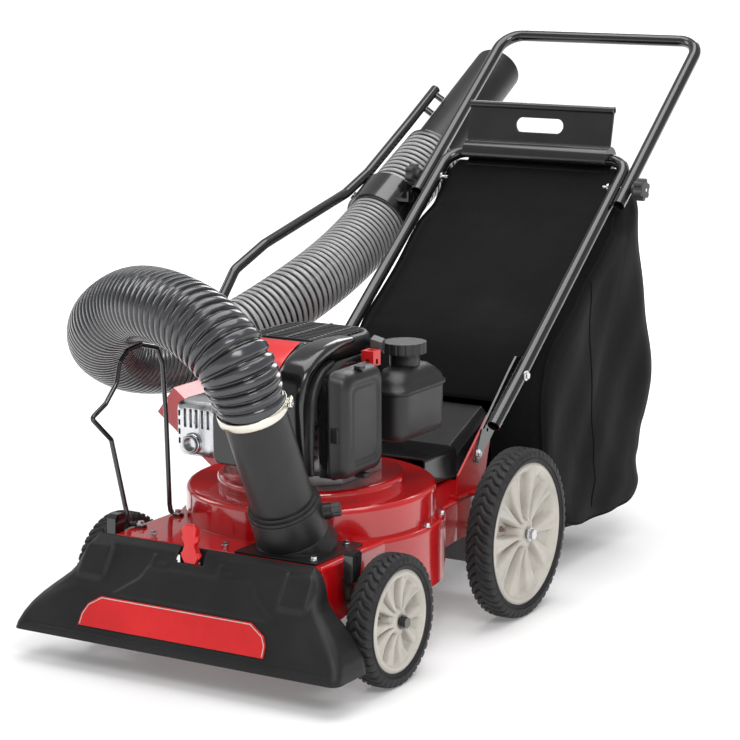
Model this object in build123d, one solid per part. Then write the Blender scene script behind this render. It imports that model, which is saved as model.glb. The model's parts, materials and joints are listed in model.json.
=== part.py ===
from build123d import *
import math
import os

# Leaf vacuum mulcher: walk-behind machine with a vertical-shaft petrol engine on a
# pressed steel deck, a wide leaf nozzle in front, a suction hose with a hand wand, a
# chipper chute, four wheels, a folding handle and a hanging leaf bag.
# Millimetres, +Z up, +X to the operator's left, +Y to the rear.
# Pieces are laid out from the ground point under the middle of the rear axle. On export
# they move so that the origin is the ground point under the middle of the footprint.
FOOTPRINT_X, FOOTPRINT_Y = -73.265, 149.425

# ---- driving dimensions ----------------------------------------------------------------
RUN = 0.05                                        # running clearance on radius
BOLT_HOLE_R = 3.3
AXLE_R, AXLE_Z = 6.0, 140.0                       # wheel axles; height of the rear one
REAR_R, REAR_W, REAR_X = AXLE_Z, 46.0, 244.0      # rear wheel radius, width, centre X
REAR_BEAD_R, REAR_HUB_R = 116.0, 23.0
FRONT_R, FRONT_W, FRONT_X = 101.6, 42.0, 249.0    # front wheel
FRONT_Y, FRONT_Z = -414.5, FRONT_R
FRONT_BEAD_R, FRONT_HUB_R = 78.0, 19.0
ARM_Y, ARM_Z, ARM_PIN_R = -345.0, 140.0, 5.0      # pivot of the front height levers
TIE_Y, TIE_Z, TIE_R = 40, 156, 5.0                # rear tie rod

CRANK_Y = -240.0                                  # crankshaft axis (X = 0)
CRANK_R = 12.5
DECK_Z, DECK_T = 198.0, 3.0                       # deck plate top, sheet thickness
DECK_HALF_W, DECK_FRONT = 192.0, -515.0           # front part: half width, front edge
DRUM_R, DRUM_Z = 200.0, 250.0                     # impeller housing radius, top
DOME_R, DOME_Z = 150.0, 266.0                     # engine plateau radius, top

NOZZLE_BACK, NOZZLE_T = -518.0, 3.5               # back plane, wall
SELECTOR_X, SELECTOR_Z, SELECTOR_R = -31.0, 176.0, 5.0

TUBE_R, TUBE_WALL = 11.0, 1.6                     # handle tube
LOW_X, UP_X = 182.0, 204.4                        # lower and upper handle leg planes
BAR_Y, BAR_Z = 540.0, 690.0                       # lower handle crossbar
PIVOT_Y, PIVOT_Z, PIVOT_R = 486.0, 648.5, 3.0     # handle fold pivot
TOP_Y, TOP_Z, LEG_SLOPE = 797.0, 888.0, 0.77      # upper handle top bar, rise per Y

HOSE_R, HOSE_BORE_R = 57.0, 54.0                  # suction hose
ADAPTER_R = 48.0                                  # rigid adapter tube
WAND_R, WAND_BORE_R = 47.0, 44.0                  # hand wand
PORT = Vector(98.0, -436.0, 200.0)                # hose port on the deck
PORT_DIR = Vector(-0.04, -0.40, 0.9156).normalized()
KNOB_UP = 52                                      # collar knob, distance up the port axis
_side = Vector(0.87, 0.49, 0).normalized()
KNOB_DIR = (_side - PORT_DIR * _side.dot(PORT_DIR)).normalized()
KNOB_CROSS = KNOB_DIR.cross(PORT_DIR).normalized()

# Bolt places on the deck plate, (x, y)
NOZZLE_BOLTS = [(166, -496), (4, -490), (-60, -490), (-130, -490)]
PLATE_BOLTS = [(207.5, -232), (-207.5, -232), (188, -152), (-188, -152), (135, 35), (-135, 35)]
COLLAR_BOLTS = [NOZZLE_BOLTS[0], (158, -392)]
DECK_BOLTS = NOZZLE_BOLTS + PLATE_BOLTS + COLLAR_BOLTS[1:]
WIRE_FEET = [(-178.0, -457.0), (-169.0, -370.0)]
ENGINE_BOLTS = [(x, CRANK_Y + y) for y in (62, -62) for x in (78, -78)]
BRACKET_BOLTS = [(4, 262), (38, 296)]             # (y, z) on both handle brackets


# ---- shape helpers ---------------------------------------------------------------------
def box(x0, x1, y0, y1, z0, z1):
    return Pos((x0 + x1) / 2, (y0 + y1) / 2, (z0 + z1) / 2) * Box(x1 - x0, y1 - y0, z1 - z0)


def rod(start, end, radius, end_radius=None):
    # round bar between two points, or a cone when end_radius is given
    start = Vector(*start)
    axis = Vector(*end) - start
    plane = Plane(origin=start, z_dir=axis)
    if end_radius is None:
        return Solid.make_cylinder(radius, axis.length, plane)
    return Solid.make_cone(radius, end_radius, axis.length, plane)


def rod_x(x0, x1, y, z, radius):
    return rod((x0, y, z), (x1, y, z), radius)


def rod_y(x, y0, y1, z, radius):
    return rod((x, y0, z), (x, y1, z), radius)


def rod_z(x, y, z0, z1, radius):
    return rod((x, y, z0), (x, y, z1), radius)


def cross_drill(y, z, radius):
    # cutter through both sides of the machine
    return rod_x(-230, 230, y, z, radius)


def ring(start, end, radius, bore_radius):
    # tube; the bore runs a little past both ends before it is cut
    start, end = Vector(*start), Vector(*end)
    unit = (end - start).normalized()
    return rod(start, end, radius) - rod(start - unit, end + unit, bore_radius)


def on_crank(z_mid, radius, height):
    # upright cylinder on the crankshaft axis
    return Pos(0, CRANK_Y, z_mid) * Cylinder(radius, height)


def port_point(up, out=0):
    # point up the hose port axis and out towards the collar knob
    return PORT + PORT_DIR * up + KNOB_DIR * out


def port_rod(up0, up1, radius, end_radius=None):
    return rod(port_point(up0), port_point(up1), radius, end_radius)


def port_ring(up0, up1, radius, bore_radius):
    return ring(port_point(up0), port_point(up1), radius, bore_radius)


def knob_rod(out0, out1, radius, offset=Vector(0, 0, 0)):
    start = port_point(KNOB_UP, out0) + offset
    end = port_point(KNOB_UP, out1) + offset
    return rod(start, end, radius)


def polygon(points):
    return Wire.make_polygon([Vector(*point) for point in points], close=True)


def yz_prism(points, x0, x1):
    wire = polygon([(x0, y, z) for y, z in points])
    return Solid.extrude(Face(wire), Vector(x1 - x0, 0, 0))


def xy_prism(points, z0, z1):
    wire = polygon([(x, y, z0) for x, y in points])
    return Solid.extrude(Face(wire), Vector(0, 0, z1 - z0))


def crank_prism(points, z0, z1):
    # outline given relative to the crankshaft axis
    return xy_prism([(x, CRANK_Y + y) for x, y in points], z0, z1)


def xz_prism(points, y0, y1):
    wire = polygon([(x, y0, z) for x, z in points])
    return Solid.extrude(Face(wire), Vector(0, y1 - y0, 0))


def soften(shape, edges, radius):
    # The kernel may refuse a fillet: try smaller radii, then leave the edges sharp.
    for factor in (1.0, 0.6, 0.3):
        try:
            if isinstance(shape, Solid):
                rounded = shape.fillet(radius * factor, edges)
            else:
                rounded = fillet(edges, radius * factor)
            if rounded.is_valid and rounded.volume > 0:
                return rounded
        except Exception:
            pass
    return shape


def soften_above(shape, z, radius):
    return soften(shape, [e for e in shape.edges() if e.center().Z > z], radius)


def bent(points, radius, bend, bore_radius=None):
    # bar or tube along a polyline with round bends
    line = FilletPolyline(*points, radius=bend)
    path = line if isinstance(line, Wire) else Wire(line.edges())
    plane = Plane(origin=path @ 0, z_dir=path % 0)
    face = plane * Circle(radius)
    if bore_radius:
        face = face - plane * Circle(bore_radius)
    return sweep(face, path=path)


def hex_head(base, axis, across_flats, height):
    plane = Plane(origin=Vector(*base), z_dir=Vector(*axis))
    return extrude(plane * RegularPolygon(radius=across_flats / math.sqrt(3), side_count=6), height)


def flange_bolt(seat, axis, across_flats, height, washer_r, shank, shank_r=3.0):
    # washer and head stand on the seat, the shank runs back from it
    unit = Vector(*axis).normalized()
    seat = Vector(*seat)
    washer_top = seat + unit * 1.6
    bolt = rod(seat, washer_top, washer_r)
    bolt = bolt + hex_head(washer_top, unit, across_flats, height)
    if shank:
        bolt = bolt + rod(seat - unit * shank, seat, shank_r)
    return bolt


def mirrored(shape):
    return shape.mirror(Plane.YZ)


def pair(shape):
    return Compound(children=[shape, mirrored(shape)])


# ---- deck ------------------------------------------------------------------------------
def deck_body(inset, z_bottom, drop):
    # deck outline with its walls moved in by inset and its top lowered by drop
    top = DECK_Z - drop
    front = box(-DECK_HALF_W + inset, DECK_HALF_W - inset, DECK_FRONT + inset, CRANK_Y,
                z_bottom, top)
    belly = on_crank((z_bottom + top) / 2, 214.0 - inset, top - z_bottom)
    rear = xy_prism([(-186 + inset, CRANK_Y), (186 - inset, CRANK_Y), (166 - inset, -60),
                     (160 - inset, 62 - inset), (-160 + inset, 62 - inset),
                     (-166 + inset, -60)], z_bottom, top)
    return front + belly + rear


def deck_shell():
    deck = deck_body(0, 100, 0)
    deck = soften_above(deck, DECK_Z - 0.1, 7.0)
    deck = deck + on_crank((DECK_Z + DRUM_Z) / 2 - 1, DRUM_R, DRUM_Z - DECK_Z + 2)
    deck = soften_above(deck, DRUM_Z - 0.1, 9.0)
    deck = deck + on_crank((DRUM_Z + DOME_Z) / 2 - 1, DOME_R, DOME_Z - DRUM_Z + 2)
    deck = soften_above(deck, DOME_Z - 0.1, 8.0)
    hollow = deck_body(DECK_T, 90, DECK_T)
    hollow = hollow + on_crank(170, DRUM_R - DECK_T, 2 * (DRUM_Z - DECK_T - 170))
    hollow = hollow + on_crank(180, DOME_R - DECK_T - 6, 2 * (DOME_Z - DECK_T - 180))
    deck = deck - hollow
    # skirt: cut up towards the rear corners and behind the front corners
    deck = deck - yz_prism([(-180, 90), (-130, 130), (70, 130), (70, 90)], -230, 230)
    deck = deck - yz_prism([(-530, 90), (-530, 96), (-318, 128), (-300, 90)], -230, 230)
    # front window to the nozzle, rear window to the discharge chute, engine pilot hole
    deck = deck - box(-176, 176, -530, -500, 80, 186)
    deck = deck - box(-48, 84, -80, -20, 204, 243)
    deck = deck - on_crank(DOME_Z, 52, 30)
    # hose port, through the plate and the front of the impeller housing
    deck = deck - port_rod(-30, 90, 57.5)
    deck = deck - cross_drill(0, AXLE_Z, AXLE_R + 0.2)
    deck = deck - cross_drill(ARM_Y, ARM_Z, ARM_PIN_R + RUN)
    # chipper port
    deck = deck - box(-215, -150, -185, -115, 205, 243)
    for x, y in DECK_BOLTS + WIRE_FEET:
        deck = deck - rod_z(x, y, DECK_Z - 8, DECK_Z + 4, BOLT_HOLE_R)
    for x, y in ENGINE_BOLTS:
        deck = deck - rod_z(x, y, DOME_Z - 8, DOME_Z + 4, 4.3)
    # rear opening for the trailing shield and the holes of its tie rod
    deck = deck - box(-151, 151, 50, 70, 100, 172)
    return deck - cross_drill(TIE_Y, TIE_Z, TIE_R + RUN)


def rear_tie_rod():
    return rod_x(-168, 168, TIE_Y, TIE_Z, TIE_R)


def trailing_shield():
    # sloping plate hanging from a sleeve on the tie rod
    half_w = 148
    shield = yz_prism([(36, 148), (48, 148), (66, 60), (60, 58), (30, 140)], -half_w, half_w)
    shield = shield + rod_x(-half_w, half_w, TIE_Y, TIE_Z, 9.0)
    return shield - rod_x(-half_w - 2, half_w + 2, TIE_Y, TIE_Z, TIE_R + RUN)


def handle_bracket():
    # left bracket: slanted handle strap, flanges on the deck plate, wheel-side ear
    bracket = yz_prism([(-62, 198), (30, 198), (60, 290), (48, 318), (22, 296), (-52, 236)],
                       160.5, 164.5)
    bracket = bracket + box(152, 168, -60, 28, 198.2, 202)
    bracket = bracket + box(164.5, 214, -22, 24, 198.2, 202)
    bracket = bracket + yz_prism([(-22, 202), (24, 202), (12, 120), (-12, 120)], 210, 214)
    bracket = bracket - rod_x(205, 220, 0, AXLE_Z, AXLE_R + 0.2)
    bracket = bracket - box(150, 168.6, -62, 64, 190, 198.1)
    for y, z in BRACKET_BOLTS:
        bracket = bracket - rod_x(150, 180, y, z, BOLT_HOLE_R)
    return bracket


# ---- wheels and front height levers ----------------------------------------------------
def rear_axle():
    return rod_x(-274.2, 274.2, 0, AXLE_Z, AXLE_R)


def wheel_rim(bead_r, hub_r, width):
    # cast rim about X, outer face at +X: bead barrel, lip, disc with ten windows, hub
    windows = 10
    half = width / 2
    barrel = ring((-half + 3, 0, 0), (half - 1.5, 0, 0), bead_r, bead_r - 5)
    lip = ring((half - 7, 0, 0), (half - 0.5, 0, 0), bead_r - 1, bead_r - 12)
    disc = ring((half - 16, 0, 0), (half - 9, 0, 0), bead_r - 3, 10)
    hub = rod_x(-half + 1, half - 0.5, 0, 0, hub_r)
    rim = barrel + lip + disc + hub
    # each window is two overlapping rounds, kept inside the lip
    pitch_r = (hub_r + bead_r - 8) / 2 + 4
    window_r = 0.30 * pitch_r
    outer_pitch_r = pitch_r + window_r * 0.75
    for i in range(windows):
        angle = 2 * math.pi * (i + 0.5) / windows
        dy, dz = math.cos(angle), math.sin(angle)
        inner_cut = rod_x(half - 20, half - 5, pitch_r * dy, pitch_r * dz, window_r)
        outer_cut = rod_x(half - 20, half - 5, outer_pitch_r * dy, outer_pitch_r * dz,
                          window_r * 0.95)
        cut = inner_cut + outer_cut
        inside_lip = rod_x(half - 30, half, 0, 0, bead_r - 13)
        rim = rim - (cut & inside_lip)
    return rim - rod_x(-half - 5, half + 5, 0, 0, AXLE_R + RUN)


def tyre(radius, width, bead_r):
    # revolved section (x, radius) with bevelled shoulders
    half = width / 2
    section = [(-half + 4, bead_r), (-half, bead_r + 6), (-half, radius - 12),
               (-half + 3, radius - 5), (-half + 9, radius - 1), (-half * 0.3, radius),
               (half * 0.3, radius), (half - 9, radius - 1), (half - 3, radius - 5),
               (half, radius - 12), (half, bead_r + 6), (half - 4, bead_r)]
    return revolve(Face(polygon([(x, 0, z) for x, z in section])), Axis.X, 360)


def wheel_parts(axle_name, radius, width, bead_r, hub_r, x, y, z):
    parts = {}
    for side_name, side in (("left", 1), ("right", -1)):
        rim, tread = wheel_rim(bead_r, hub_r, width), tyre(radius, width, bead_r)
        if side < 0:
            rim, tread = mirrored(rim), mirrored(tread)
        name = axle_name + "_" + side_name
        parts[name + "_rim"] = Pos(side * x, y, z) * rim
        parts[name + "_tyre"] = Pos(side * x, y, z) * tread
    return parts


def axle_nut(side):
    x = 268.5
    nut = rod_x(side * x, side * (x + 1.5), 0, AXLE_Z, 11.0)
    nut = nut + hex_head((side * (x + 1.5), 0, AXLE_Z), (side, 0, 0), 16.0, 7.0)
    return nut - rod_x(side * (x - 1), side * (x + 6.0), 0, AXLE_Z, AXLE_R)


def height_lever():
    # left lever: arm plate, pivot stud, wheel stud with nut and spacer, moulded grip
    arm = yz_prism([(-336, 130), (-334, 148), (-350, 154), (-402, 128), (-452, 158),
                    (-462, 176), (-482, 176), (-476, 140), (-430, 88), (-408, 86)], 205, 209)
    arm = arm + rod_x(205.5, 186.0, ARM_Y, ARM_Z, ARM_PIN_R)
    arm = arm + rod_x(188.6, 185.6, ARM_Y, ARM_Z, 8.0)
    arm = arm + rod_x(208.5, 272, FRONT_Y, FRONT_Z, AXLE_R)
    arm = arm + rod_x(270.3, 272.2, FRONT_Y, FRONT_Z, 11.0)
    arm = arm + hex_head((272.2, FRONT_Y, FRONT_Z), (1, 0, 0), 16.0, 7.0)
    arm = arm + rod_x(209, 226.5, FRONT_Y, FRONT_Z, 10.0)
    grip = yz_prism([(-484, 172), (-462, 170), (-456, 212), (-462, 218), (-476, 218),
                     (-482, 212)], 209.0, 225.0)
    return arm + grip


# ---- nozzle ----------------------------------------------------------------------------
# Hood sections from the mouth up: (z, half width, front y)
HOOD_SECTIONS = [(50, 296, -602), (60, 294, -598), (92, 283, -581.75), (125, 259, -565),
                 (160, 226, -547.2), (186, 205, -534), (200, 194, -526.5)]


def hood_loft(wall=0):
    # outer hood, or its cavity when wall is given; the cavity overruns mouth and back
    sections = []
    for i, (z, half_w, front) in enumerate(HOOD_SECTIONS):
        if wall and i == 0:
            z = z - 10
        # the mouth sits off centre, away from the hose side
        mid_x = -29.0 + 17.0 * (z - 45) / 155
        if i == len(HOOD_SECTIONS) - 1:
            z = z - wall
        half_w, front = half_w - wall, front + wall
        back = NOZZLE_BACK + 20 if wall else NOZZLE_BACK
        bevel = min(14.0, (back - front) * 0.5)
        outline = [(-half_w, back), (-half_w, front + bevel), (-half_w + bevel, front),
                   (half_w - bevel, front), (half_w, front + bevel), (half_w, back)]
        sections.append(polygon([(x + mid_x, y, z) for x, y in outline]))
    return Solid.make_loft(sections, ruled=True)


def nozzle_shell():
    hood = hood_loft()
    nozzle = hood - hood_loft(NOZZLE_T)
    nozzle = nozzle - box(-400, 400, NOZZLE_BACK, 0, 0, 400)
    # back wall: closed outside the deck window
    wall = hood & box(-400, 400, NOZZLE_BACK - NOZZLE_T, NOZZLE_BACK, 40, 400)
    wall = wall - box(-174, 174, -600, -500, 30, 184)
    nozzle = nozzle + wall
    # low strips at the two ends of the back wall
    for x0, x1 in ((-318, -180), (180, 261)):
        nozzle = nozzle + box(x0, x1, NOZZLE_BACK - 5, NOZZLE_BACK - 1, 51, 62)
    # flange over the deck's front edge, open where the collar base lies
    flange = box(-170, 186, NOZZLE_BACK - 4, -478, DECK_Z + 0.2, DECK_Z + 3.4)
    nozzle = nozzle + (flange - box(33, 179, -511, -470, 190, 210))
    nozzle = nozzle - port_rod(-30, 60, 68.0)
    # selector slot in the top
    nozzle = nozzle - box(-65, 3, -541, -520, 150, 230)
    for x, y in NOZZLE_BOLTS:
        nozzle = nozzle - rod_z(x, y, DECK_Z - 8, DECK_Z + 8, BOLT_HOLE_R)
    return nozzle


def nozzle_badge():
    # plain plate 0.2 off the sloping front, which goes back 33 for every 65 up
    run, rise, z_mid = 33, 65, 94
    normal = Vector(0, -rise, run).normalized()
    centre = Vector(-32, -598 + (z_mid - 60) * run / rise, z_mid) + normal * 0.2
    plane = Plane(origin=centre, x_dir=(1, 0, 0), z_dir=normal)
    outline = Polygon((-169, -25), (170, -25), (169, -6), (162, 8), (136, 24), (-139, 24),
                      (-160, 10), (-168, -6), align=None)
    return extrude(plane * outline, 2.2, dir=normal)


def selector_lever():
    # waisted lever on the front of the flap shaft, (x from the shaft, z)
    outline = [(-9, 178), (9, 178), (15, 190), (9, 206), (13, 232), (5, 238), (-5, 238),
               (-13, 232), (-9, 206), (-15, 190)]
    lever = xz_prism([(SELECTOR_X + x, z) for x, z in outline], -536, -525)
    lever = lever + rod_y(SELECTOR_X, -536, -525, SELECTOR_Z, 9.5)
    return lever - rod_y(SELECTOR_X, -540, -520, SELECTOR_Z, SELECTOR_R)


def diverter_flap():
    plate = box(SELECTOR_X - 2, SELECTOR_X + 2, -510, -458, 112, SELECTOR_Z - 3)
    flap = plate + rod_y(SELECTOR_X, -511, -456, SELECTOR_Z, 8.5)
    shaft = rod_y(SELECTOR_X, -533, -455, SELECTOR_Z, SELECTOR_R)
    return flap + shaft


# ---- hose port, adapter, hose ----------------------------------------------------------
def hose_collar():
    base_z = DECK_Z + 0.2
    below_base = box(-50, 250, -560, -300, 150, base_z)
    base = box(34, 178, -510, -376, base_z, DECK_Z + 3.8)
    base = base - on_crank(220, DRUM_R + 1.0, 60)
    collar = port_rod(-2, 74, 56.5)
    collar = collar - below_base
    collar = collar + base
    # conical foot
    collar = collar + (port_rod(0, 26, 64.0, 57.0) - below_base)
    collar = collar - on_crank(220, DRUM_R + 1.0, 60.6)
    # knob boss
    collar = collar + knob_rod(50, 68, 12.0)
    collar = collar - port_rod(-40, 90, ADAPTER_R + 0.3)
    collar = collar - knob_rod(40, 76, 4.0 + RUN)
    for x, y in COLLAR_BOLTS:
        collar = collar - rod_z(x, y, DECK_Z - 8, DECK_Z + 12, BOLT_HOLE_R)
    return collar


def collar_knob():
    # screw knob with eight grip grooves
    knob = knob_rod(68.4, 81, 11.0) + knob_rod(51, 69, 4.0)
    for i in range(8):
        angle = math.pi * i / 4
        offset = KNOB_CROSS * (math.cos(angle) * 12.4) + PORT_DIR * (math.sin(angle) * 12.4)
        knob = knob - knob_rod(68, 82, 2.4, offset)
    return knob


def hose_adapter_tube():
    # tube with a stepped bead resting on the collar
    bore_r = ADAPTER_R - 2
    bead = (port_ring(74.4, 80, ADAPTER_R + 7.5, bore_r)
            + port_ring(80, 86, ADAPTER_R + 4, bore_r))
    return port_ring(4, 268, ADAPTER_R, ADAPTER_R - 3) + bead


WAND_START, WAND_END = Vector(-279, 640, 668), Vector(-275, 893, 812)
WAND_DIR = (WAND_END - WAND_START).normalized()

# Hose centreline from the adapter over the nozzle and back along the right side
HOSE_PATH = [port_point(243), port_point(256), port_point(269),
             (70, -560, 505), (8, -550, 548), (-85, -515, 564), (-182, -462, 552),
             (-278, -402, 506), (-345, -315, 450), (-368, -195, 402), (-360, -60, 387),
             (-326, 60, 417), (-292, 183, 464), (-287, 312, 504), (-289, 430, 550),
             (-286, 529, 606), WAND_START]


def suction_hose():
    path = Spline(*[tuple(point) for point in HOSE_PATH])
    plane = Plane(origin=path @ 0, z_dir=path % 0)
    return sweep(plane * Circle(HOSE_R) - plane * Circle(HOSE_BORE_R), path=path)


def hose_clamp():
    # band with a cross barrel on one side
    clamp = port_ring(244.5, 256.5, HOSE_R + 2.8, HOSE_R + 1.2)
    barrel = port_point(250.5, HOSE_R + 6.6)
    return clamp + rod(barrel - KNOB_CROSS * 9, barrel + KNOB_CROSS * 9, 5.0)


def wand_tube():
    return ring(WAND_START + WAND_DIR * 2, WAND_END, WAND_R, WAND_BORE_R)


# Grip bar polyline; its last leg runs beside the wand
GRIP_BAR_PATH = [(-372, 60, 470), (-372, 100, 512), (-362, 180, 548), (-345, 430, 612),
                 (-338, 500, 644), (-330, 640, 726), (-330, 742, 782)]
GRIP_BAR_R, GRIP_BAR_BEND = 9.5, 30.0


def wand_handle():
    # bent tube with two posts reaching to the wand
    handle = bent(GRIP_BAR_PATH, GRIP_BAR_R, GRIP_BAR_BEND, GRIP_BAR_R - 2)
    leg_x, leg_y, leg_z = GRIP_BAR_PATH[-2]
    for y in (690.0, 732.0):
        on_wand = WAND_START + WAND_DIR * ((y - WAND_START.Y) / WAND_DIR.Y)
        on_bar = Vector(leg_x, y, leg_z + (y - leg_y) * 56 / 102)
        reach = on_wand - on_bar
        reach = reach - WAND_DIR * reach.dot(WAND_DIR)
        unit = reach.normalized()
        post = rod(on_bar, on_bar + reach - unit * (WAND_R + 0.4), 6.5)
        handle = handle + (post - rod(on_bar - unit * 20, on_bar + unit * 7.4, 7.0))
    return handle


def hose_cradle():
    # half ring over the hose, with an ear to the handle leg and a lug to the grip bar
    axis = Vector(0.026, 0.87, 0.492).normalized()
    centre = Vector(-288, 478, 578.5)
    saddle = ring(centre - axis * 34, centre + axis * 34, HOSE_R + 5.5, HOSE_R + 2.0)
    up = Vector(0, -axis.Z, axis.Y)
    saddle = saddle & (Plane(origin=centre + up * 45, z_dir=up) * Box(300, 300, 100))
    hose_space = rod(centre - axis * 90, centre + axis * 90, HOSE_R + 2.2)
    ear = box(-252, -216.2, 441, 461, 603, 609) + box(-219.5, -216.2, 441, 461, 603, 622)
    ear = ear - hose_space
    lug_y = 462.0
    lug_base = centre + axis * ((lug_y - centre.Y) / axis.Y)
    reach = Vector(-341.8, lug_y, 626.6) - lug_base
    reach = (reach - axis * reach.dot(axis)).normalized()
    lug = rod(lug_base + reach * 60.5, lug_base + reach * 65.4, 8.0) - hose_space
    bar_space = bent(GRIP_BAR_PATH, GRIP_BAR_R + 0.2, GRIP_BAR_BEND)
    return saddle + ear + lug - bar_space


def hose_support_wire():
    # one bent wire with a washer foot at each end, standing on two deck bolts
    (front_x, front_y), (rear_x, rear_y) = WIRE_FEET
    foot_z = 202.4
    wire = bent([(front_x - 8.6, front_y - 2, foot_z), (-196, -462, foot_z), (-201, -466, 230),
                 (-210, -486, 340), (-221, -520, 379), (-213, -494, 398), (-207, -472, 428),
                 (-205, -466, 458), (-201, -450, 476), (-194, -423, 481), (-186, -395, 473),
                 (-183, -384, 446), (-182, -379, 360), (-181, -376, 218), (-181, -373, foot_z),
                 (rear_x - 8.2, rear_y, foot_z)], 3.9, 5.0)
    for x, y in WIRE_FEET:
        wire = wire + (rod_z(x, y, DECK_Z + 0.2, DECK_Z + 3.4, 9.5)
                       - rod_z(x, y, DECK_Z - 8, DECK_Z + 8, BOLT_HOLE_R))
    # room for the bolt heads
    for x, y in WIRE_FEET:
        wire = wire - rod_z(x, y, DECK_Z + 3.45, DECK_Z + 14, 8.0)
    return wire


# ---- chipper chute ---------------------------------------------------------------------
CHIPPER_ROOT, CHIPPER_L = Vector(-190.0, -150.0, 238.0), 164.0
CHIPPER_DIR, CHIPPER_UP = Vector(-0.80, 0, 0.60), Vector(0.60, 0, 0.80)
CHIPPER_PLANE = Plane(origin=CHIPPER_ROOT, x_dir=(0, 1, 0), z_dir=CHIPPER_DIR)


def chipper_chute():
    # square duct with 3 mm walls, trimmed to the deck plate and the impeller housing
    outer = extrude(CHIPPER_PLANE * Rectangle(74, 56), CHIPPER_L)
    bore = extrude(CHIPPER_PLANE.offset(-40) * Rectangle(68, 50), 300)
    chute = outer - bore
    chute = chute - box(-200, 200, -400, 100, 100, DECK_Z + 0.4)
    return chute - on_crank(200, DRUM_R + 0.4, 110)


def chipper_flap():
    # plate with a rolled hinge eye along its top edge
    hinge = CHIPPER_ROOT + CHIPPER_DIR * (CHIPPER_L - 18.5) + CHIPPER_UP * 20.5
    flap = extrude(CHIPPER_PLANE.offset(CHIPPER_L - 20) * Rectangle(66.5, 42), 3)
    return flap + rod_y(hinge.X, hinge.Y - 33, hinge.Y + 33, hinge.Z, 2.5)


# ---- discharge chute -------------------------------------------------------------------
def chute_section(y, x0, x1, z0, z1, bevel_x, bevel_z):
    # rectangle with bevelled top corners
    return polygon([(x0, y, z0), (x1, y, z0), (x1, y, z1 - bevel_z), (x1 - bevel_x, y, z1),
                    (x0 + bevel_x, y, z1), (x0, y, z1 - bevel_z)])


def discharge_chute():
    # straight duct on the impeller housing, then a flared one to the rear
    x0, x1, z0, z1, joint_y = -58, 92, DECK_Z + 4, 252, 70
    wall = 3.5
    duct = box(x0, x1, -36, joint_y, z0, z1)
    duct = duct - on_crank(220, DRUM_R + 0.6, 80)
    flare = Solid.make_loft([chute_section(joint_y, x0, x1, z0, z1, 14, 14),
                             chute_section(172, -66, 98, 196, 302, 14, 14)], ruled=True)
    duct_bore = box(x0 + wall, x1 - wall, -60, joint_y + 2, DECK_Z + 7, z1 - wall)
    flare_bore = Solid.make_loft(
        [chute_section(66, x0 + wall, x1 - wall, z0 + wall, z1 - wall, 12, 12.5),
         chute_section(176, -62.5, 94.5, 199.5, 298.5, 12, 12.5)], ruled=True)
    chute = (duct + flare) - duct_bore - flare_bore
    # top side edges of the straight duct
    mid_x, half_w = (x0 + x1) / 2, (x1 - x0) / 2
    edges = [e for e in chute.edges()
             if abs(e.center().Z - z1) < 0.1
             and abs(abs(e.center().X - mid_x) - half_w) < 1
             and e.center().Y < 60]
    return soften(chute, edges, 14.0)


# ---- engine ----------------------------------------------------------------------------
def engine_block():
    base = crank_prism([(-95, -60), (-60, -92), (60, -92), (95, -60), (95, 60), (60, 92),
                        (-60, 92), (-95, 60)], DOME_Z + 0.2, DOME_Z + 16)
    case = crank_prism([(-74, -50), (-50, -72), (50, -72), (74, -50), (74, 52), (52, 74),
                        (-52, 74), (-74, 52)], DOME_Z + 16, 372)
    pilot = on_crank(DOME_Z - 8, 51.0, 17)
    # finned cylinder towards the front
    cylinder = box(-46, 46, CRANK_Y - 118, CRANK_Y - 70, 300, 396)
    for k in range(6):
        z = 304 + 16 * k
        cylinder = cylinder + box(-58, 58, CRANK_Y - 116, CRANK_Y - 72, z, z + 5)
    block = base + case + pilot + cylinder
    block = block - on_crank(300, CRANK_R + RUN, 400)
    block = block - box(-27, 27, CRANK_Y - 130, CRANK_Y - 20, 320, 376)
    block = block - on_crank(320, 45, 60)
    for x, y in ENGINE_BOLTS:
        block = block - rod_z(x, y, DOME_Z - 2, DOME_Z + 20, 4.2)
    return block


def cylinder_head():
    head = box(-48, 48, CRANK_Y - 140, CRANK_Y - 118.3, 302, 394)
    for k in range(5):
        z = 306 + 19 * k
        head = head + box(-48, 48, CRANK_Y - 150, CRANK_Y - 138, z, z + 5)
    return head


def crankshaft():
    # shaft with a bolt hole below, a thinner flywheel end and a slotted disc
    crank = rod_z(0, CRANK_Y, 162.7, 318, CRANK_R) - rod_z(0, CRANK_Y, 150, 176.2, 5.0)
    crank = crank + rod_z(0, CRANK_Y, 318, 374, CRANK_R)
    crank = crank + rod_z(0, CRANK_Y, 374, 436, 10.0)
    crank = crank + on_crank(332, 38, 12)
    return crank - box(-8, 40, CRANK_Y - 8, CRANK_Y + 8, 327, 337)


def flywheel():
    fins = 16
    wheel = on_crank(406, 78, 18) - on_crank(406, 10.0, 40)
    for k in range(fins):
        wheel = wheel + Pos(0, CRANK_Y, 424) * Rot(0, 0, 360 * k / fins) * Pos(58, 0, 0) \
            * Box(34, 3, 18)
    return wheel


def impeller():
    vanes = 6
    fan = on_crank(236, 176, 4) + on_crank(224, 26, 28)
    for k in range(vanes):
        fan = fan + Pos(0, CRANK_Y, 202) * Rot(0, 0, 360 / vanes * k) * Pos(98, 0, 0) \
            * Box(150, 5, 66)
    return fan - on_crank(220, CRANK_R, 80)


def shredder_blade():
    blade = Pos(0, CRANK_Y, 157) * Box(318, 52, 5) + on_crank(158, 30, 9)
    blade = blade - on_crank(157, 5.0, 30)
    return Pos(0, CRANK_Y, 0) * Rot(0, 0, 38) * Pos(0, -CRANK_Y, 0) * blade


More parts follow.
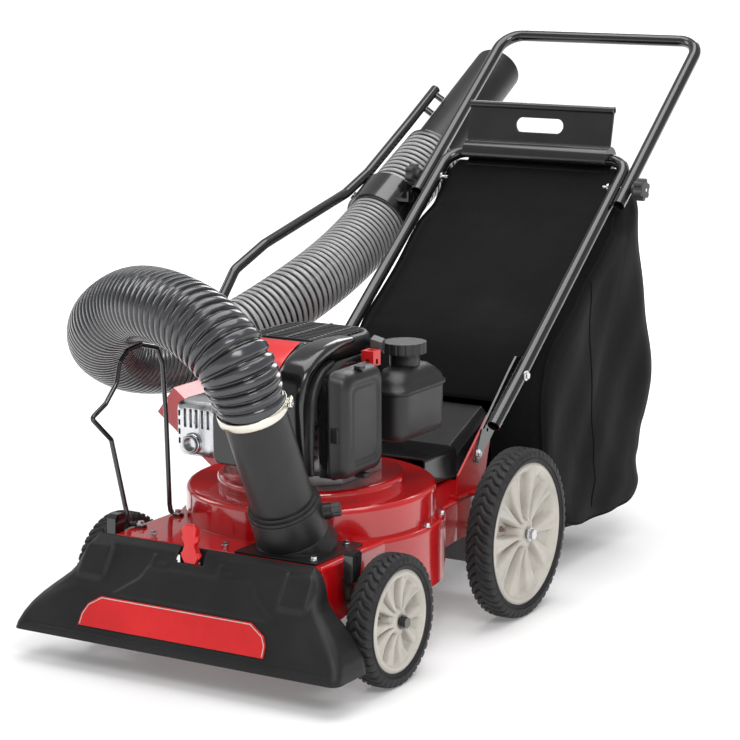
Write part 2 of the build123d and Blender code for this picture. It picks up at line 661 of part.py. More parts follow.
def impeller_bolt():
    return (rod_z(0, CRANK_Y, 140, 176, 5.0)
            + hex_head((0, CRANK_Y, 153.3), (0, 0, -1), 17.0, 9.0)
            + rod_z(0, CRANK_Y, 153.4, 150.4, 14.0))


def blower_housing():
    # hollow shroud over the flywheel, with a front skirt around the cylinder
    shroud = crank_prism([(-100, -60), (-66, -160), (64, -160), (86, -118), (90, -40),
                          (92, 40), (60, 92), (-60, 92), (-96, 50)], 378, 462)
    shroud = soften_above(shroud, 461.9, 22.0)
    skirt = crank_prism([(-66, -160), (64, -160), (64, -66), (-66, -66)], 300, 380)
    shroud = shroud + skirt
    hollow = crank_prism([(-95, -58), (-62.5, -156.5), (60.5, -156.5), (82, -116), (86, -40),
                          (87, 38), (58, 88), (-58, 88), (-92, 48)], 374, 446)
    skirt_hollow = box(-62.5, 60.5, CRANK_Y - 156.5, CRANK_Y - 40, 290, 382)
    shroud = shroud - hollow - skirt_hollow
    shroud = shroud - box(-60, 60, CRANK_Y - 76, CRANK_Y + 10, 290, 377)
    shroud = shroud - on_crank(455, 70, 60)
    # round hole in the front, a small slanting cutter beside it, muffler pipe hole
    shroud = shroud - rod_y(0, CRANK_Y - 170, CRANK_Y - 120, 350, 14.0)
    shroud = shroud - rod((0, CRANK_Y - 184, 350), (30, CRANK_Y - 176, 364), 8.0)
    return shroud - rod_x(-130, -60, -310, 340, 9.5)


def starter_cover():
    # round cup with slots across its top, joined by a centre rib
    height, slot_pitch, slot_field_r = 34.8, 11.5, 70
    cover = on_crank(463.2 + height / 2, 86, height)
    cover = soften_above(cover, 497, 4.0)
    cover = cover - on_crank(477, 82, 32)
    for k in range(-6, 7):
        y = CRANK_Y + k * slot_pitch
        half_chord = math.sqrt(slot_field_r ** 2 - (k * slot_pitch) ** 2)
        cover = cover - Pos(0, y, 496) * Box(2 * half_chord - 8, 5.0, 14)
        cover = cover + Pos(0, y, 495.5) * Box(5, 6, 5)
    # centre disc and pulley pin
    return cover + on_crank(493.5, 24, 5) + on_crank(482, 8.95, 20)


def starter_pulley():
    return on_crank(476, 46, 12) - on_crank(476, 9, 20)


def recoil_grip():
    # block with a slanting groove across its top
    groove = Pos(0, 0, 12) * Rot(0, 18, 0) * Box(40, 60, 8)
    return Pos(101, -201, 474) * Rot(0, 0, 22) * (Box(18, 36, 20) - groove)


OUTLET_X, OUTLET_Z = -166, 308                    # muffler outlet, facing the front


def muffler():
    can = box(-186, -122, -322, -272, 294, 366)
    can = soften(can, can.edges(), 12.0)
    can = can + rod_y(OUTLET_X, -318, -340, OUTLET_Z, 13.0)
    can = can - rod_y(OUTLET_X, -330, -345, OUTLET_Z, 11.0)
    # pipe from the engine
    return can + rod_x(-130, -62.2, -310, 340, 8.0)


def soften_front(shape, y, radius):
    return soften(shape, [e for e in shape.edges() if abs(e.center().Y - y) < 0.1], radius)


def muffler_guard():
    # box open to the rear, with slots in its outer side and front
    guard = soften_front(box(-204, -116, -330, -262, 284, 374), -330, 14.0)
    hollow = soften_front(box(-201, -119, -327, -250, 287, 371), -327, 12.0)
    guard = guard - hollow - rod_y(OUTLET_X, -300, -350, OUTLET_Z, 15.0)
    for k in range(5):
        guard = guard - box(-210, -192, -312, -272, 296 + 14 * k, 304 + 14 * k)
        if k < 3:
            guard = guard - box(-186, -126, -335, -320, 338 + 9 * k, 341 + 9 * k)
    return guard - rod_x(-130, -100, -310, 340, 9.5)


def air_filter_base():
    # shallow tray open to the left
    return box(96, 116, -368, -258, 292, 446) - box(99, 120, -364, -262, 296, 442)


def air_filter_cover():
    outer_x = 144
    cover = yz_prism([(-352, 290), (-268, 290), (-250, 306), (-250, 438), (-262, 452),
                      (-340, 456), (-360, 444), (-370, 420), (-370, 306)], 116.3, outer_x)
    edges = [e for e in cover.edges() if abs(e.center().X - outer_x) < 0.1]
    cover = soften(cover, edges, 8.0)
    return cover - box(110, 140, -362, -258, 298, 442)


def carburettor():
    # block with a round bowl below
    return box(76, 95.5, -300, -268, 330, 374) + rod_z(85.8, -284, 331, 306, 9.4)


FILLER_X, FILLER_Y = 118, -146                    # fuel filler axis


def fuel_tank():
    # narrow lower body, wider top, filler neck
    lower = box(93.5, 146, -214, -84, 322, 408)
    lower = soften(lower, [e for e in lower.edges() if e.center().Z < 323], 12.0)
    upper = box(94, 158, -222, -76, 408, 434)
    upper = soften_above(upper, 433, 14.0)
    neck = rod_z(FILLER_X, FILLER_Y, 432, 452, 24.0)
    tank = lower + upper + neck
    tank = tank - box(97.5, 142, -210, -88, 326, 428)
    return tank - rod_z(FILLER_X, FILLER_Y, 420, 460, 19.0)


def fuel_cap():
    grooves, groove_pitch_r = 18, 36.5
    cap = (rod_z(FILLER_X, FILLER_Y, 452.4, 470, 35.0)
           + rod_z(FILLER_X, FILLER_Y, 446, 452.5, 18.8))
    for i in range(grooves):
        angle = 2 * math.pi * i / grooves
        x = FILLER_X + groove_pitch_r * math.cos(angle)
        y = FILLER_Y + groove_pitch_r * math.sin(angle)
        cap = cap - rod_z(x, y, 450, 472, 2.6)
    return cap


def fuel_shutoff_lever():
    return rod_x(146.3, 152, -98, 338, 7.0) + box(149, 152.5, -101, -95, 338, 364)


def dipstick():
    return box(98, 120, -246, -224, 446, 470) + rod_z(106, -238, 300, 447, 3.0)


def oil_filler_tube():
    return (ring((106, -238, 290), (106, -238, 445.6), 7.5, 4.5)
            + box(80, 112, -246, -230, 282.2, 292))


# ---- handle ----------------------------------------------------------------------------
def leg_z(y):
    # height of the sloping handle legs at y
    return TOP_Z + LEG_SLOPE * (y - TOP_Y)


def handle_tube(right_leg, bend):
    # right leg points from its free end to the bar; the left leg mirrors them
    left_leg = [(-x, y, z) for x, y, z in reversed(right_leg)]
    tube = bent(right_leg + left_leg, TUBE_R, bend, TUBE_R - TUBE_WALL)
    return tube - cross_drill(PIVOT_Y, PIVOT_Z, BOLT_HOLE_R)


def lower_handle():
    return handle_tube([(-LOW_X, 34, 304), (-LOW_X, 128, leg_z(128)),
                        (-LOW_X, BAR_Y, BAR_Z)], 36.0)


def upper_handle():
    return handle_tube([(-UP_X, 452, leg_z(452)), (-UP_X, TOP_Y, TOP_Z)], 42.0)


def leg_plate():
    # left plate that ties the tube end to the bracket
    plate = yz_prism([(-6, 252), (8, 246), (60, 288), (150, 372), (162, 398), (140, 402),
                      (112, 380), (20, 300)], 165.0, 168.6)
    for y, z in BRACKET_BOLTS + [(126, 376)]:
        plate = plate - rod_x(150, 180, y, z, BOLT_HOLE_R)
    return plate


def handle_knob(side):
    # six-lobed knob on the fold pivot
    def along(x0, x1, radius, y=PIVOT_Y, z=PIVOT_Z):
        return rod_x(side * x0, side * x1, y, z, radius)

    knob = along(216.0, 224.0, 9.0)
    knob = knob + along(224.0, 240.0, 15.0)
    for i in range(6):
        angle = math.pi * i / 3 + 0.3
        y = PIVOT_Y + 14.5 * math.cos(angle)
        z = PIVOT_Z + 14.5 * math.sin(angle)
        knob = knob + along(224.5, 239.5, 5.5, y, z)
    return knob - along(210, 245, PIVOT_R + RUN)


# ---- bag -------------------------------------------------------------------------------
def bag_hanger():
    # channel round the crossbar, web with a hand slot, rolled top edge
    half_w, cut_half_w = 146, 150
    bore_r = TUBE_R + 0.5
    channel = rod_x(-half_w, half_w, BAR_Y, BAR_Z, 24.0)
    channel = channel - rod_x(-cut_half_w, cut_half_w, BAR_Y, BAR_Z, bore_r)
    # mouth of the channel, as wide as the bore, opening forward and down
    open_y, open_z = -0.792 * 60, -0.610 * 60
    wide_y, wide_z = 0.610 * bore_r, -0.792 * bore_r
    channel = channel - yz_prism([(BAR_Y + wide_y, BAR_Z + wide_z),
                                  (BAR_Y + wide_y + open_y, BAR_Z + wide_z + open_z),
                                  (BAR_Y - wide_y + open_y, BAR_Z - wide_z + open_z),
                                  (BAR_Y - wide_y, BAR_Z - wide_z)], -cut_half_w, cut_half_w)
    web = yz_prism([(BAR_Y - 4, BAR_Z + 20), (BAR_Y - 0.5, BAR_Z + 20),
                    (BAR_Y + 14.5, BAR_Z + 84), (BAR_Y + 11, BAR_Z + 84)], -half_w, half_w)
    slot_y0, slot_y1, slot_z, slot_r = BAR_Y - 40, BAR_Y + 60, BAR_Z + 55, 13.0
    web = web - (rod_y(-35, slot_y0, slot_y1, slot_z, slot_r)
                 + rod_y(35, slot_y0, slot_y1, slot_z, slot_r)
                 + box(-35, 35, slot_y0, slot_y1, slot_z - slot_r, slot_z + slot_r))
    roll_y, roll_z = BAR_Y + 13.5, BAR_Z + 88
    roll = (rod_x(-half_w, half_w, roll_y, roll_z, 6.5)
            - rod_x(-cut_half_w, cut_half_w, roll_y, roll_z, 3.5))
    return channel + web + roll


# Side outlines of the bag, (y, z)
BAG_OUTSIDE = [(548, 655), (574, 640), (590, 545), (618, 400), (631, 281), (604, 170),
               (566, 62), (400, 52), (262, 78), (204, 130), (180, 196), (178, 330),
               (214, 404), (500, 624)]
BAG_INSIDE = [(545, 646), (569, 634), (584, 545), (612, 400), (625, 281), (598, 173),
              (561, 68), (400, 58), (264, 84), (208, 133), (186, 198), (184, 328),
              (218, 399), (503, 617)]


def pivot_nooks(x_inner, radius):
    return (rod_x(x_inner, 230, PIVOT_Y, PIVOT_Z, radius)
            + rod_x(-230, -x_inner, PIVOT_Y, PIVOT_Z, radius))


def leaf_bag():
    # the top corners are drawn in so the folding legs swing past them
    wall = 6
    bag = yz_prism(BAG_OUTSIDE, -205, 205) - pivot_nooks(190.5, 47.5)
    hollow = yz_prism(BAG_INSIDE, -205 + wall, 205 - wall)
    bag = bag - (hollow - pivot_nooks(190.5 - wall, 47.5 + wall))
    # inlet for the discharge chute
    return bag - box(-70, 102, 150, 200, 190, 306)


# ---- fasteners -------------------------------------------------------------------------
def bolt_seat(place):
    # height of the bolt seat: on the collar base, the nozzle flange or the deck plate
    if place in COLLAR_BOLTS:
        return DECK_Z + 4.0
    return DECK_Z + (3.6 if place in NOZZLE_BOLTS else 0.2)


def bolts_and_nuts():
    up = (0, 0, 1)
    fasteners = [flange_bolt((*place, bolt_seat(place)), up, 8.5, 4.5, 6.4, 16.0)
                 for place in DECK_BOLTS]
    for x, y in WIRE_FEET:
        fasteners.append(flange_bolt((x, y, DECK_Z + 3.6), up, 9.0, 4.5, 7.5, 15.0))
    for x, y in ENGINE_BOLTS:
        fasteners.append(flange_bolt((x, y, DOME_Z + 16.2), up, 10.0, 5.0, 8.5, 24.0, 4.0))
    for side in (1, -1):
        out = (side, 0, 0)
        fasteners.append(flange_bolt((side * 193.2, 126, 374), out, 10, 4, 8.5, 0))
        # fold pivot bolt with a round head on its inner side
        fasteners.append(rod_x(side * 158, side * 242, PIVOT_Y, PIVOT_Z, PIVOT_R)
                         + rod_x(side * 170.8, side * 167.5, PIVOT_Y, PIVOT_Z, 8.0))
        fasteners.append(flange_bolt((side * 168.8, *BRACKET_BOLTS[0]), out, 10, 4, 8.0, 14.0))
    fasteners = fasteners + [axle_nut(1), axle_nut(-1)]
    return Compound(children=[fastener.solids()[0] for fastener in fasteners])


# ---- assembly and export ---------------------------------------------------------------
PARTS = {
    "deck_shell": deck_shell(),
    "rear_tie_rod": rear_tie_rod(),
    "trailing_shield": trailing_shield(),
    "handle_brackets": pair(handle_bracket()),
    "rear_axle": rear_axle(),
    **wheel_parts("rear", REAR_R, REAR_W, REAR_BEAD_R, REAR_HUB_R, REAR_X, 0, AXLE_Z),
    **wheel_parts("front", FRONT_R, FRONT_W, FRONT_BEAD_R, FRONT_HUB_R,
                  FRONT_X, FRONT_Y, FRONT_Z),
    "front_left_height_lever": height_lever(),
    "front_right_height_lever": mirrored(height_lever()),
    "nozzle_shell": nozzle_shell(),
    "nozzle_badge": nozzle_badge(),
    "selector_lever": selector_lever(),
    "diverter_flap": diverter_flap(),
    "hose_collar": hose_collar(),
    "collar_knob": collar_knob(),
    "hose_adapter_tube": hose_adapter_tube(),
    "suction_hose": suction_hose(),
    "hose_clamp": hose_clamp(),
    "wand_tube": wand_tube(),
    "wand_handle": wand_handle(),
    "hose_cradle": hose_cradle(),
    "hose_support_wire": hose_support_wire(),
    "chipper_chute": chipper_chute(),
    "chipper_flap": chipper_flap(),
    "discharge_chute": discharge_chute(),
    "engine_block": engine_block(),
    "cylinder_head": cylinder_head(),
    "crankshaft": crankshaft(),
    "flywheel": flywheel(),
    "impeller": impeller(),
    "shredder_blade": shredder_blade(),
    "impeller_bolt": impeller_bolt(),
    "blower_housing": blower_housing(),
    "starter_cover": starter_cover(),
    "starter_pulley": starter_pulley(),
    "recoil_grip": recoil_grip(),
    "muffler_guard": muffler_guard(),
    "muffler": muffler(),
    "air_filter_base": air_filter_base(),
    "air_filter_cover": air_filter_cover(),
    "carburettor": carburettor(),
    "fuel_tank": fuel_tank(),
    "fuel_cap": fuel_cap(),
    "fuel_shutoff_lever": fuel_shutoff_lever(),
    "dipstick": dipstick(),
    "oil_filler_tube": oil_filler_tube(),
    "lower_handle": lower_handle(),
    "upper_handle": upper_handle(),
    "leg_plates": pair(leg_plate()),
    "left_handle_knob": handle_knob(1),
    "right_handle_knob": handle_knob(-1),
    "bag_hanger": bag_hanger(),
    "leaf_bag": leaf_bag(),
    "bolts_and_nuts": bolts_and_nuts(),
}

os.makedirs("parts", exist_ok=True)
to_footprint = Location((-FOOTPRINT_X, -FOOTPRINT_Y, 0))
for name, shape in PARTS.items():
    solids = shape.solids()
    piece = solids[0] if len(solids) == 1 else Compound(children=list(solids))
    export_step(piece.moved(to_footprint), "parts/" + name + ".step")
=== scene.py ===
# A walk-behind leaf vacuum: wide nozzle hood in front, engine and blower over the deck,
# a ribbed hose that leaves the front and runs back along the right side, and a hanging
# leaf bag behind.
# The machine stands on z = 0 and faces -Y, so its left side is +X. Layout numbers are
# millimetres from the ground point under the rear axle; point() and to_frame() take them
# to the shared frame. Materials, modifiers, lights and the floor are in metres.
import json
import math
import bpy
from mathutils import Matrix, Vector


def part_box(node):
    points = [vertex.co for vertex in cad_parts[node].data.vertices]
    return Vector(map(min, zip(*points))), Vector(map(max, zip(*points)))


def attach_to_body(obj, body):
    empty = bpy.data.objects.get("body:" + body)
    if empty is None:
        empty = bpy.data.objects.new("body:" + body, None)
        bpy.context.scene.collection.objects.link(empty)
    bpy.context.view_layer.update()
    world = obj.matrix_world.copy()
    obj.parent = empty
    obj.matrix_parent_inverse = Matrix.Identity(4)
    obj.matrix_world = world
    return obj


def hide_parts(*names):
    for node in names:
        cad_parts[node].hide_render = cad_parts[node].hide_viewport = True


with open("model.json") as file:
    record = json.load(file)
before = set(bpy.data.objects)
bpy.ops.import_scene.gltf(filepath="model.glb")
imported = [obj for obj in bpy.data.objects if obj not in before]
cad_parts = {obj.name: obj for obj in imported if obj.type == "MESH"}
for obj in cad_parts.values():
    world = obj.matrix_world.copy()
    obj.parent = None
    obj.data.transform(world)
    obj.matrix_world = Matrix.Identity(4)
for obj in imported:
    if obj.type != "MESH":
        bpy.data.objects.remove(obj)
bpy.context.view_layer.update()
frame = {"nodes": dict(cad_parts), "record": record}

from types import SimpleNamespace

import bmesh
import bpy
import numpy as np
from mathutils import Matrix, Vector
from mathutils.bvhtree import BVHTree

axle_low, axle_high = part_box("rear_axle")
ORIGIN_X = (axle_low.x + axle_high.x) / 2
ORIGIN_Y = (axle_low.y + axle_high.y) / 2
AXIS_X, AXIS_Y, AXIS_Z = np.eye(3)
SLOT = {part["node"]: part["material_slot"] for part in frame["record"]["subparts"]}


def point(x, y, z):
    return Vector((x / 1000 + ORIGIN_X, y / 1000 + ORIGIN_Y, z / 1000))


def to_frame(points):
    points = np.asarray(points, float) / 1000.0
    points[..., 0] += ORIGIN_X
    points[..., 1] += ORIGIN_Y
    return points


# ------------------------------------------------------------------ small maths
def smooth(start, end, value):
    """0 before start, 1 after end, and a smooth S between."""
    t = np.clip((value - start) / (end - start), 0, 1)
    return t * t * (3 - 2 * t)


def plateau(value, rise_start, rise_end, fall_start, fall_end):
    return smooth(rise_start, rise_end, value) * (1 - smooth(fall_start, fall_end, value))


def blend(first, second, weight):
    return first * (1 - weight) + second * weight


def signed_power(value, exponent):
    return np.sign(value) * np.abs(value) ** exponent


def unit(vector):
    return vector / np.linalg.norm(vector)


def unit_rows(vectors):
    return vectors / np.linalg.norm(vectors, axis=1)[:, None]


def full_turn(steps):
    return np.linspace(0, 2 * np.pi, steps, endpoint=False)


# ------------------------------------------------------------------ shader nodes
def feed(tree, node, inputs):
    """Link each socket given, and set each plain value."""
    for key, value in inputs.items():
        socket = node.inputs[key]
        if isinstance(value, bpy.types.NodeSocket):
            tree.links.new(value, socket)
        elif isinstance(value, tuple):
            # colours gain an alpha of 1, vectors stay at three numbers
            socket.default_value = (*value, 1)[:len(socket.default_value)]
        else:
            socket.default_value = value


def add_node(tree, kind, inputs=None, **settings):
    node = tree.nodes.new("ShaderNode" + kind)
    for key, value in settings.items():
        setattr(node, key, value)
    feed(tree, node, inputs or {})
    return node


class Shader:
    """A new material: one principled surface and the nodes that feed it."""

    def __init__(self, name):
        self.material = bpy.data.materials.new(name)
        self.material.use_nodes = True
        self.tree = self.material.node_tree
        self.tree.nodes.clear()
        output = self.node("OutputMaterial")
        self.surface = self.node("BsdfPrincipled")
        feed(self.tree, output, {0: self.surface.outputs[0]})
        self.normal = None

    def node(self, kind, inputs=None, **settings):
        return add_node(self.tree, kind, inputs, **settings)

    def set(self, inputs):
        feed(self.tree, self.surface, inputs)

    def coords(self, stretch=(1, 1, 1)):
        source = self.node("TexCoord").outputs["Object"]
        return self.node("Mapping", {"Scale": stretch, "Vector": source}).outputs[0]

    def noise(self, vector, scale, detail=4.0, roughness=0.55):
        inputs = {"Vector": vector, "Scale": scale, "Detail": detail, "Roughness": roughness}
        return self.node("TexNoise", inputs).outputs["Fac"]

    def cells(self, vector, scale):
        return self.node("TexVoronoi", {"Scale": scale, "Vector": vector}).outputs["Distance"]

    def attribute(self, name):
        return self.node("Attribute", attribute_name=name).outputs["Fac"]

    def ramp(self, factor, start, end, low=0.0, high=1.0):
        node = self.node("ValToRGB", {0: factor})
        stops = zip(node.color_ramp.elements, (start, end), (low, high))
        for element, position, level in stops:
            element.position = position
            element.color = (level, level, level, 1)
        return node.outputs[0]

    def mix(self, factor, first, second):
        inputs = {0: factor, 6: first, 7: second}
        return self.node("Mix", inputs, data_type="RGBA").outputs[2]

    def math(self, operation, *values):
        return self.node("Math", dict(enumerate(values)), operation=operation).outputs[0]

    def edge_wear(self, start=0.52, end=0.60):
        """0 on flats, 1 on sharp outer edges."""
        geometry = self.node("NewGeometry")
        return self.ramp(geometry.outputs["Pointiness"], start, end)

    def vary_roughness(self, pattern, span, base):
        self.set({"Roughness": self.math("MULTIPLY_ADD", pattern, span, base)})

    def round_edges(self, radius):
        if radius:
            self.normal = self.node("Bevel", {"Radius": radius}, samples=4).outputs[0]

    def bump(self, height, strength, distance):
        """Add a bump on top of the earlier ones."""
        inputs = {"Strength": strength, "Distance": distance, "Height": height}
        if self.normal is not None:
            inputs["Normal"] = self.normal
        self.normal = self.node("Bump", inputs).outputs[0]
        self.set({"Normal": self.normal})


# ------------------------------------------------------------------ materials
def paint(name, color, rough, coat, bevel=0.0015, wear=(0.35, 0.33, 0.32), wear_amount=0.25):
    shader = Shader(name)
    coords = shader.coords()
    cloud = shader.noise(coords, scale=9.0, detail=3)
    dark = tuple(c * 0.86 for c in color)
    tone = shader.mix(shader.ramp(cloud, 0.35, 0.7), dark, color)
    speck = shader.noise(coords, scale=420.0, detail=2)
    worn = shader.math("MULTIPLY", shader.edge_wear(), shader.ramp(speck, 0.45, 0.62))
    tone = shader.mix(shader.math("MULTIPLY", worn, wear_amount), tone, wear)
    streaks = shader.noise(coords, scale=30.0, detail=5)
    shader.vary_roughness(streaks, span=0.10, base=rough - 0.03)
    shader.set({"Base Color": tone, "Coat Weight": coat, "Coat Roughness": 0.06, "IOR": 1.5})
    orange_peel = shader.noise(coords, scale=260.0, detail=2)
    shader.round_edges(bevel)
    shader.bump(orange_peel, strength=0.12, distance=0.0004)
    return shader.material


def plastic(name, color, rough, grain, depth=0.0005, strength=0.35, bevel=0.0012,
            specular=0.5, coat=0.0, scuff=0.05):
    """grain is the texture scale; depth and strength size its bumps."""
    shader = Shader(name)
    coords = shader.coords()
    cloud = shader.noise(coords, scale=14.0)
    light = tuple(min(1.0, c * 1.35 + 0.004) for c in color)
    tone = shader.mix(shader.ramp(cloud, 0.3, 0.75), color, light)
    fine = shader.noise(coords, scale=grain, detail=3, roughness=0.6)
    worn = shader.math("MULTIPLY", shader.edge_wear(end=0.62), scuff)
    tone = shader.mix(worn, tone, tuple(min(1.0, c * 3 + 0.05) for c in color))
    streaks = shader.noise(coords, scale=40.0, detail=5)
    shader.vary_roughness(streaks, span=0.18, base=rough - 0.09)
    shader.set({"Base Color": tone, "Specular IOR Level": specular, "Coat Weight": coat,
                "Coat Roughness": 0.12})
    pebbles = shader.cells(coords, scale=grain * 0.9)
    shader.round_edges(bevel)
    shader.bump(fine, strength=strength, distance=depth)
    shader.bump(pebbles, strength=strength * 0.5, distance=depth)
    return shader.material


def metal(name, color, rough, stretch=(1, 1, 30), bevel=0.0008, tarnish=0.25):
    """stretch squeezes the grain along each axis, which leaves brush lines across it."""
    shader = Shader(name)
    stretched = shader.coords(stretch)
    coords = shader.coords()
    brushed = shader.noise(stretched, scale=60.0, detail=6)
    stain = shader.noise(coords, scale=22.0, detail=5)
    stained = shader.math("MULTIPLY", shader.ramp(stain, 0.4, 0.75), tarnish)
    tone = shader.mix(stained, color, tuple(c * 0.45 for c in color))
    shader.set({"Base Color": tone, "Metallic": 1.0})
    shader.vary_roughness(brushed, span=0.25, base=rough - 0.12)
    shader.round_edges(bevel)
    shader.bump(brushed, strength=0.10, distance=0.0003)
    pits = shader.noise(coords, scale=300.0, detail=3)
    shader.bump(pits, strength=0.12, distance=0.0003)
    return shader.material


def rubber(name, color):
    shader = Shader(name)
    coords = shader.coords()
    cloud = shader.noise(coords, scale=35.0, detail=5)
    tone = shader.mix(shader.ramp(cloud, 0.35, 0.75), color, tuple(c * 2.1 for c in color))
    worn = shader.math("MULTIPLY", shader.edge_wear(start=0.51, end=0.6), 0.35)
    tone = shader.mix(worn, tone, (0.07, 0.068, 0.066))
    shader.set({"Base Color": tone, "Specular IOR Level": 0.35})
    shader.vary_roughness(shader.noise(coords, scale=120.0), span=0.2, base=0.48)
    shader.bump(shader.noise(coords, scale=700.0), strength=0.35, distance=0.0004)
    shader.bump(cloud, strength=0.15, distance=0.001)
    return shader.material


def cloth(name):
    """Non-woven fabric with fine bonded dots and a soft sheen."""
    shader = Shader(name)
    coords = shader.coords()
    cloud = shader.noise(coords, scale=7.0)
    fibres = shader.noise(shader.coords((1, 1, 3.5)), scale=520.0, detail=5, roughness=0.65)
    tone = shader.mix(shader.ramp(cloud, 0.35, 0.7),
                      (0.0042, 0.0042, 0.0046), (0.0072, 0.0072, 0.0078))
    tone = shader.mix(shader.ramp(fibres, 0.5, 0.78, high=0.55), tone, (0.017, 0.017, 0.018))
    shader.set({"Base Color": tone, "Roughness": 0.88, "Specular IOR Level": 0.10,
                "Sheen Weight": 0.05, "Sheen Roughness": 0.5})
    dots = shader.cells(coords, scale=620.0)
    creases = shader.noise(coords, scale=28.0, detail=5, roughness=0.6)
    shader.bump(creases, strength=0.35, distance=0.004)
    shader.bump(dots, strength=0.45, distance=0.0006)
    shader.bump(fibres, strength=0.4, distance=0.0006)
    return shader.material


def hose_plastic(name):
    """Smoky plastic: pale ribs, with the webs between them painted near-black as painted shade;
    the front loop painted dark as painted shade and the rear part painted paler as painted light.
    """
    shader = Shader(name)
    coords = shader.coords()
    rib = shader.attribute("rib")
    along = shader.attribute("along")
    unshaded_crest = shader.ramp(rib, 0.40, 0.80)
    # painted shade and painted light: one plastic painted dark on the front loop and pale along
    # the rear part
    tone = shader.mix(shader.ramp(along, 0.42, 0.60),
                      (0.040, 0.041, 0.047), (0.36, 0.36, 0.365))
    cloud = shader.noise(coords, scale=45.0, detail=5)
    tone = shader.mix(shader.math("MULTIPLY", cloud, 0.35), tone, (0.02, 0.02, 0.022))
    # painted shade: the grooves between the ribs, and the inner wall, go near-black
    tone = shader.mix(unshaded_crest, (0.006, 0.006, 0.007), tone)
    shader.vary_roughness(shader.noise(coords, scale=160.0), span=0.22, base=0.12)
    shader.set({"Base Color": tone, "Coat Weight": 0.45, "Coat Roughness": 0.12})
    ripple = shader.noise(coords, scale=240.0, detail=3)
    shader.bump(ripple, strength=0.2, distance=0.0006)
    return shader.material


EVEN = (1, 1, 1)
MATERIAL = {
    "deck_red": paint("deck_red", (0.55, 0.004, 0.007), rough=0.16, coat=0.9, wear_amount=0.0),
    "bracket_red": paint("bracket_red", (0.50, 0.004, 0.007), rough=0.30, coat=0.15,
                         wear_amount=0.0),
    "plastic_red": plastic("plastic_red", (0.56, 0.008, 0.010), rough=0.33, grain=500.0,
                           depth=0.0003, strength=0.2, bevel=0.001, coat=0.2),
    "nozzle_black": plastic("nozzle_black", (0.0085, 0.0085, 0.009), rough=0.47, grain=620.0,
                            depth=0.0006, strength=0.45, bevel=0.0, specular=0.34),
    "plastic_black": plastic("plastic_black", (0.007, 0.007, 0.0075), rough=0.38, grain=700.0,
                             depth=0.0003, strength=0.25, bevel=0.0015),
    "gloss_black": plastic("gloss_black", (0.0045, 0.0045, 0.005), rough=0.17, grain=600.0,
                           depth=0.0002, strength=0.10, bevel=0.003, coat=0.5, scuff=0.06),
    "engine_grey": plastic("engine_grey", (0.0085, 0.0085, 0.009), rough=0.38, grain=800.0,
                           strength=0.4, bevel=0.003),
    "tube_black": paint("tube_black", (0.008, 0.008, 0.009), rough=0.18, coat=0.8,
                        bevel=0.0008, wear=(0.2, 0.2, 0.2), wear_amount=0.03),
    "tyre": rubber("tyre_rubber", (0.010, 0.010, 0.011)),
    "rim": plastic("rim_plastic", (0.47, 0.445, 0.40), rough=0.46, grain=500.0,
                   depth=0.0004, strength=0.25, bevel=0.0, coat=0.1, scuff=0.02),
    "hose": hose_plastic("hose_plastic"),
    "bag_fabric": cloth("bag_fabric"),
    "cast_alloy": metal("cast_alloy", (0.42, 0.42, 0.43), rough=0.5, stretch=EVEN,
                        bevel=0.001, tarnish=0.5),
    "steel": metal("steel", (0.46, 0.46, 0.47), rough=0.32),
    "zinc": metal("zinc", (0.72, 0.73, 0.75), rough=0.22, stretch=EVEN, bevel=0.0006,
                  tarnish=0.2),
    "brass": metal("yellow_zinc", (0.75, 0.62, 0.32), rough=0.25, stretch=EVEN, bevel=0.0006,
                   tarnish=0.2),
    "clamp": metal("clamp_steel", (0.78, 0.75, 0.66), rough=0.24, stretch=(1, 1, 12),
                   bevel=0.0004, tarnish=0.15),
    "shield_grey": plastic("shield_grey", (0.10, 0.10, 0.104), rough=0.55, grain=420.0,
                           depth=0.0007, strength=0.4, bevel=0.002, specular=0.4),
    "knob_grey": plastic("knob_grey", (0.03, 0.03, 0.032), rough=0.45, grain=600.0),
    "web": cloth("binding_tape"),
}

for node_name, part in frame["nodes"].items():
    key = "clamp" if node_name == "hose_clamp" else SLOT.get(node_name, "plastic_black")
    part.data.materials.clear()
    part.data.materials.append(MATERIAL.get(key, MATERIAL["plastic_black"]))
    part.data.polygons.foreach_set("material_index",
                                   np.zeros(len(part.data.polygons), np.int32))


# ------------------------------------------------------------------ mesh helpers
def mesh_object(name, verts, faces, material, smooth_shading=True, attributes=None):
    """An object from points in metres, in the shared frame."""
    mesh = bpy.data.meshes.new(name)
    mesh.from_pydata([tuple(v) for v in np.asarray(verts).reshape(-1, 3)], [],
                     [tuple(face) for face in faces])
    mesh.validate()
    mesh.materials.append(material)
    if smooth_shading:
        mesh.polygons.foreach_set("use_smooth", np.ones(len(mesh.polygons), bool))
    for key, values in (attributes or {}).items():
        attribute = mesh.attributes.new(key, "FLOAT", "POINT")
        attribute.data.foreach_set("value", np.asarray(values, np.float32).ravel())
    mesh.update()
    return link_object(name, mesh)


def link_object(name, data):
    obj = bpy.data.objects.new(name, data)
    bpy.context.scene.collection.objects.link(obj)
    return obj


def fix_normals(obj, weld=1e-6):
    bm = bmesh.new()
    bm.from_mesh(obj.data)
    bmesh.ops.remove_doubles(bm, verts=bm.verts, dist=weld)
    bmesh.ops.recalc_face_normals(bm, faces=bm.faces)
    bm.to_mesh(obj.data)
    bm.free()


def solid_object(name, points, faces, material, weld=1e-6):
    """An object from layout points, welded and with its normals outward."""
    obj = mesh_object(name, to_frame(points), faces, material)
    fix_normals(obj, weld)
    return obj


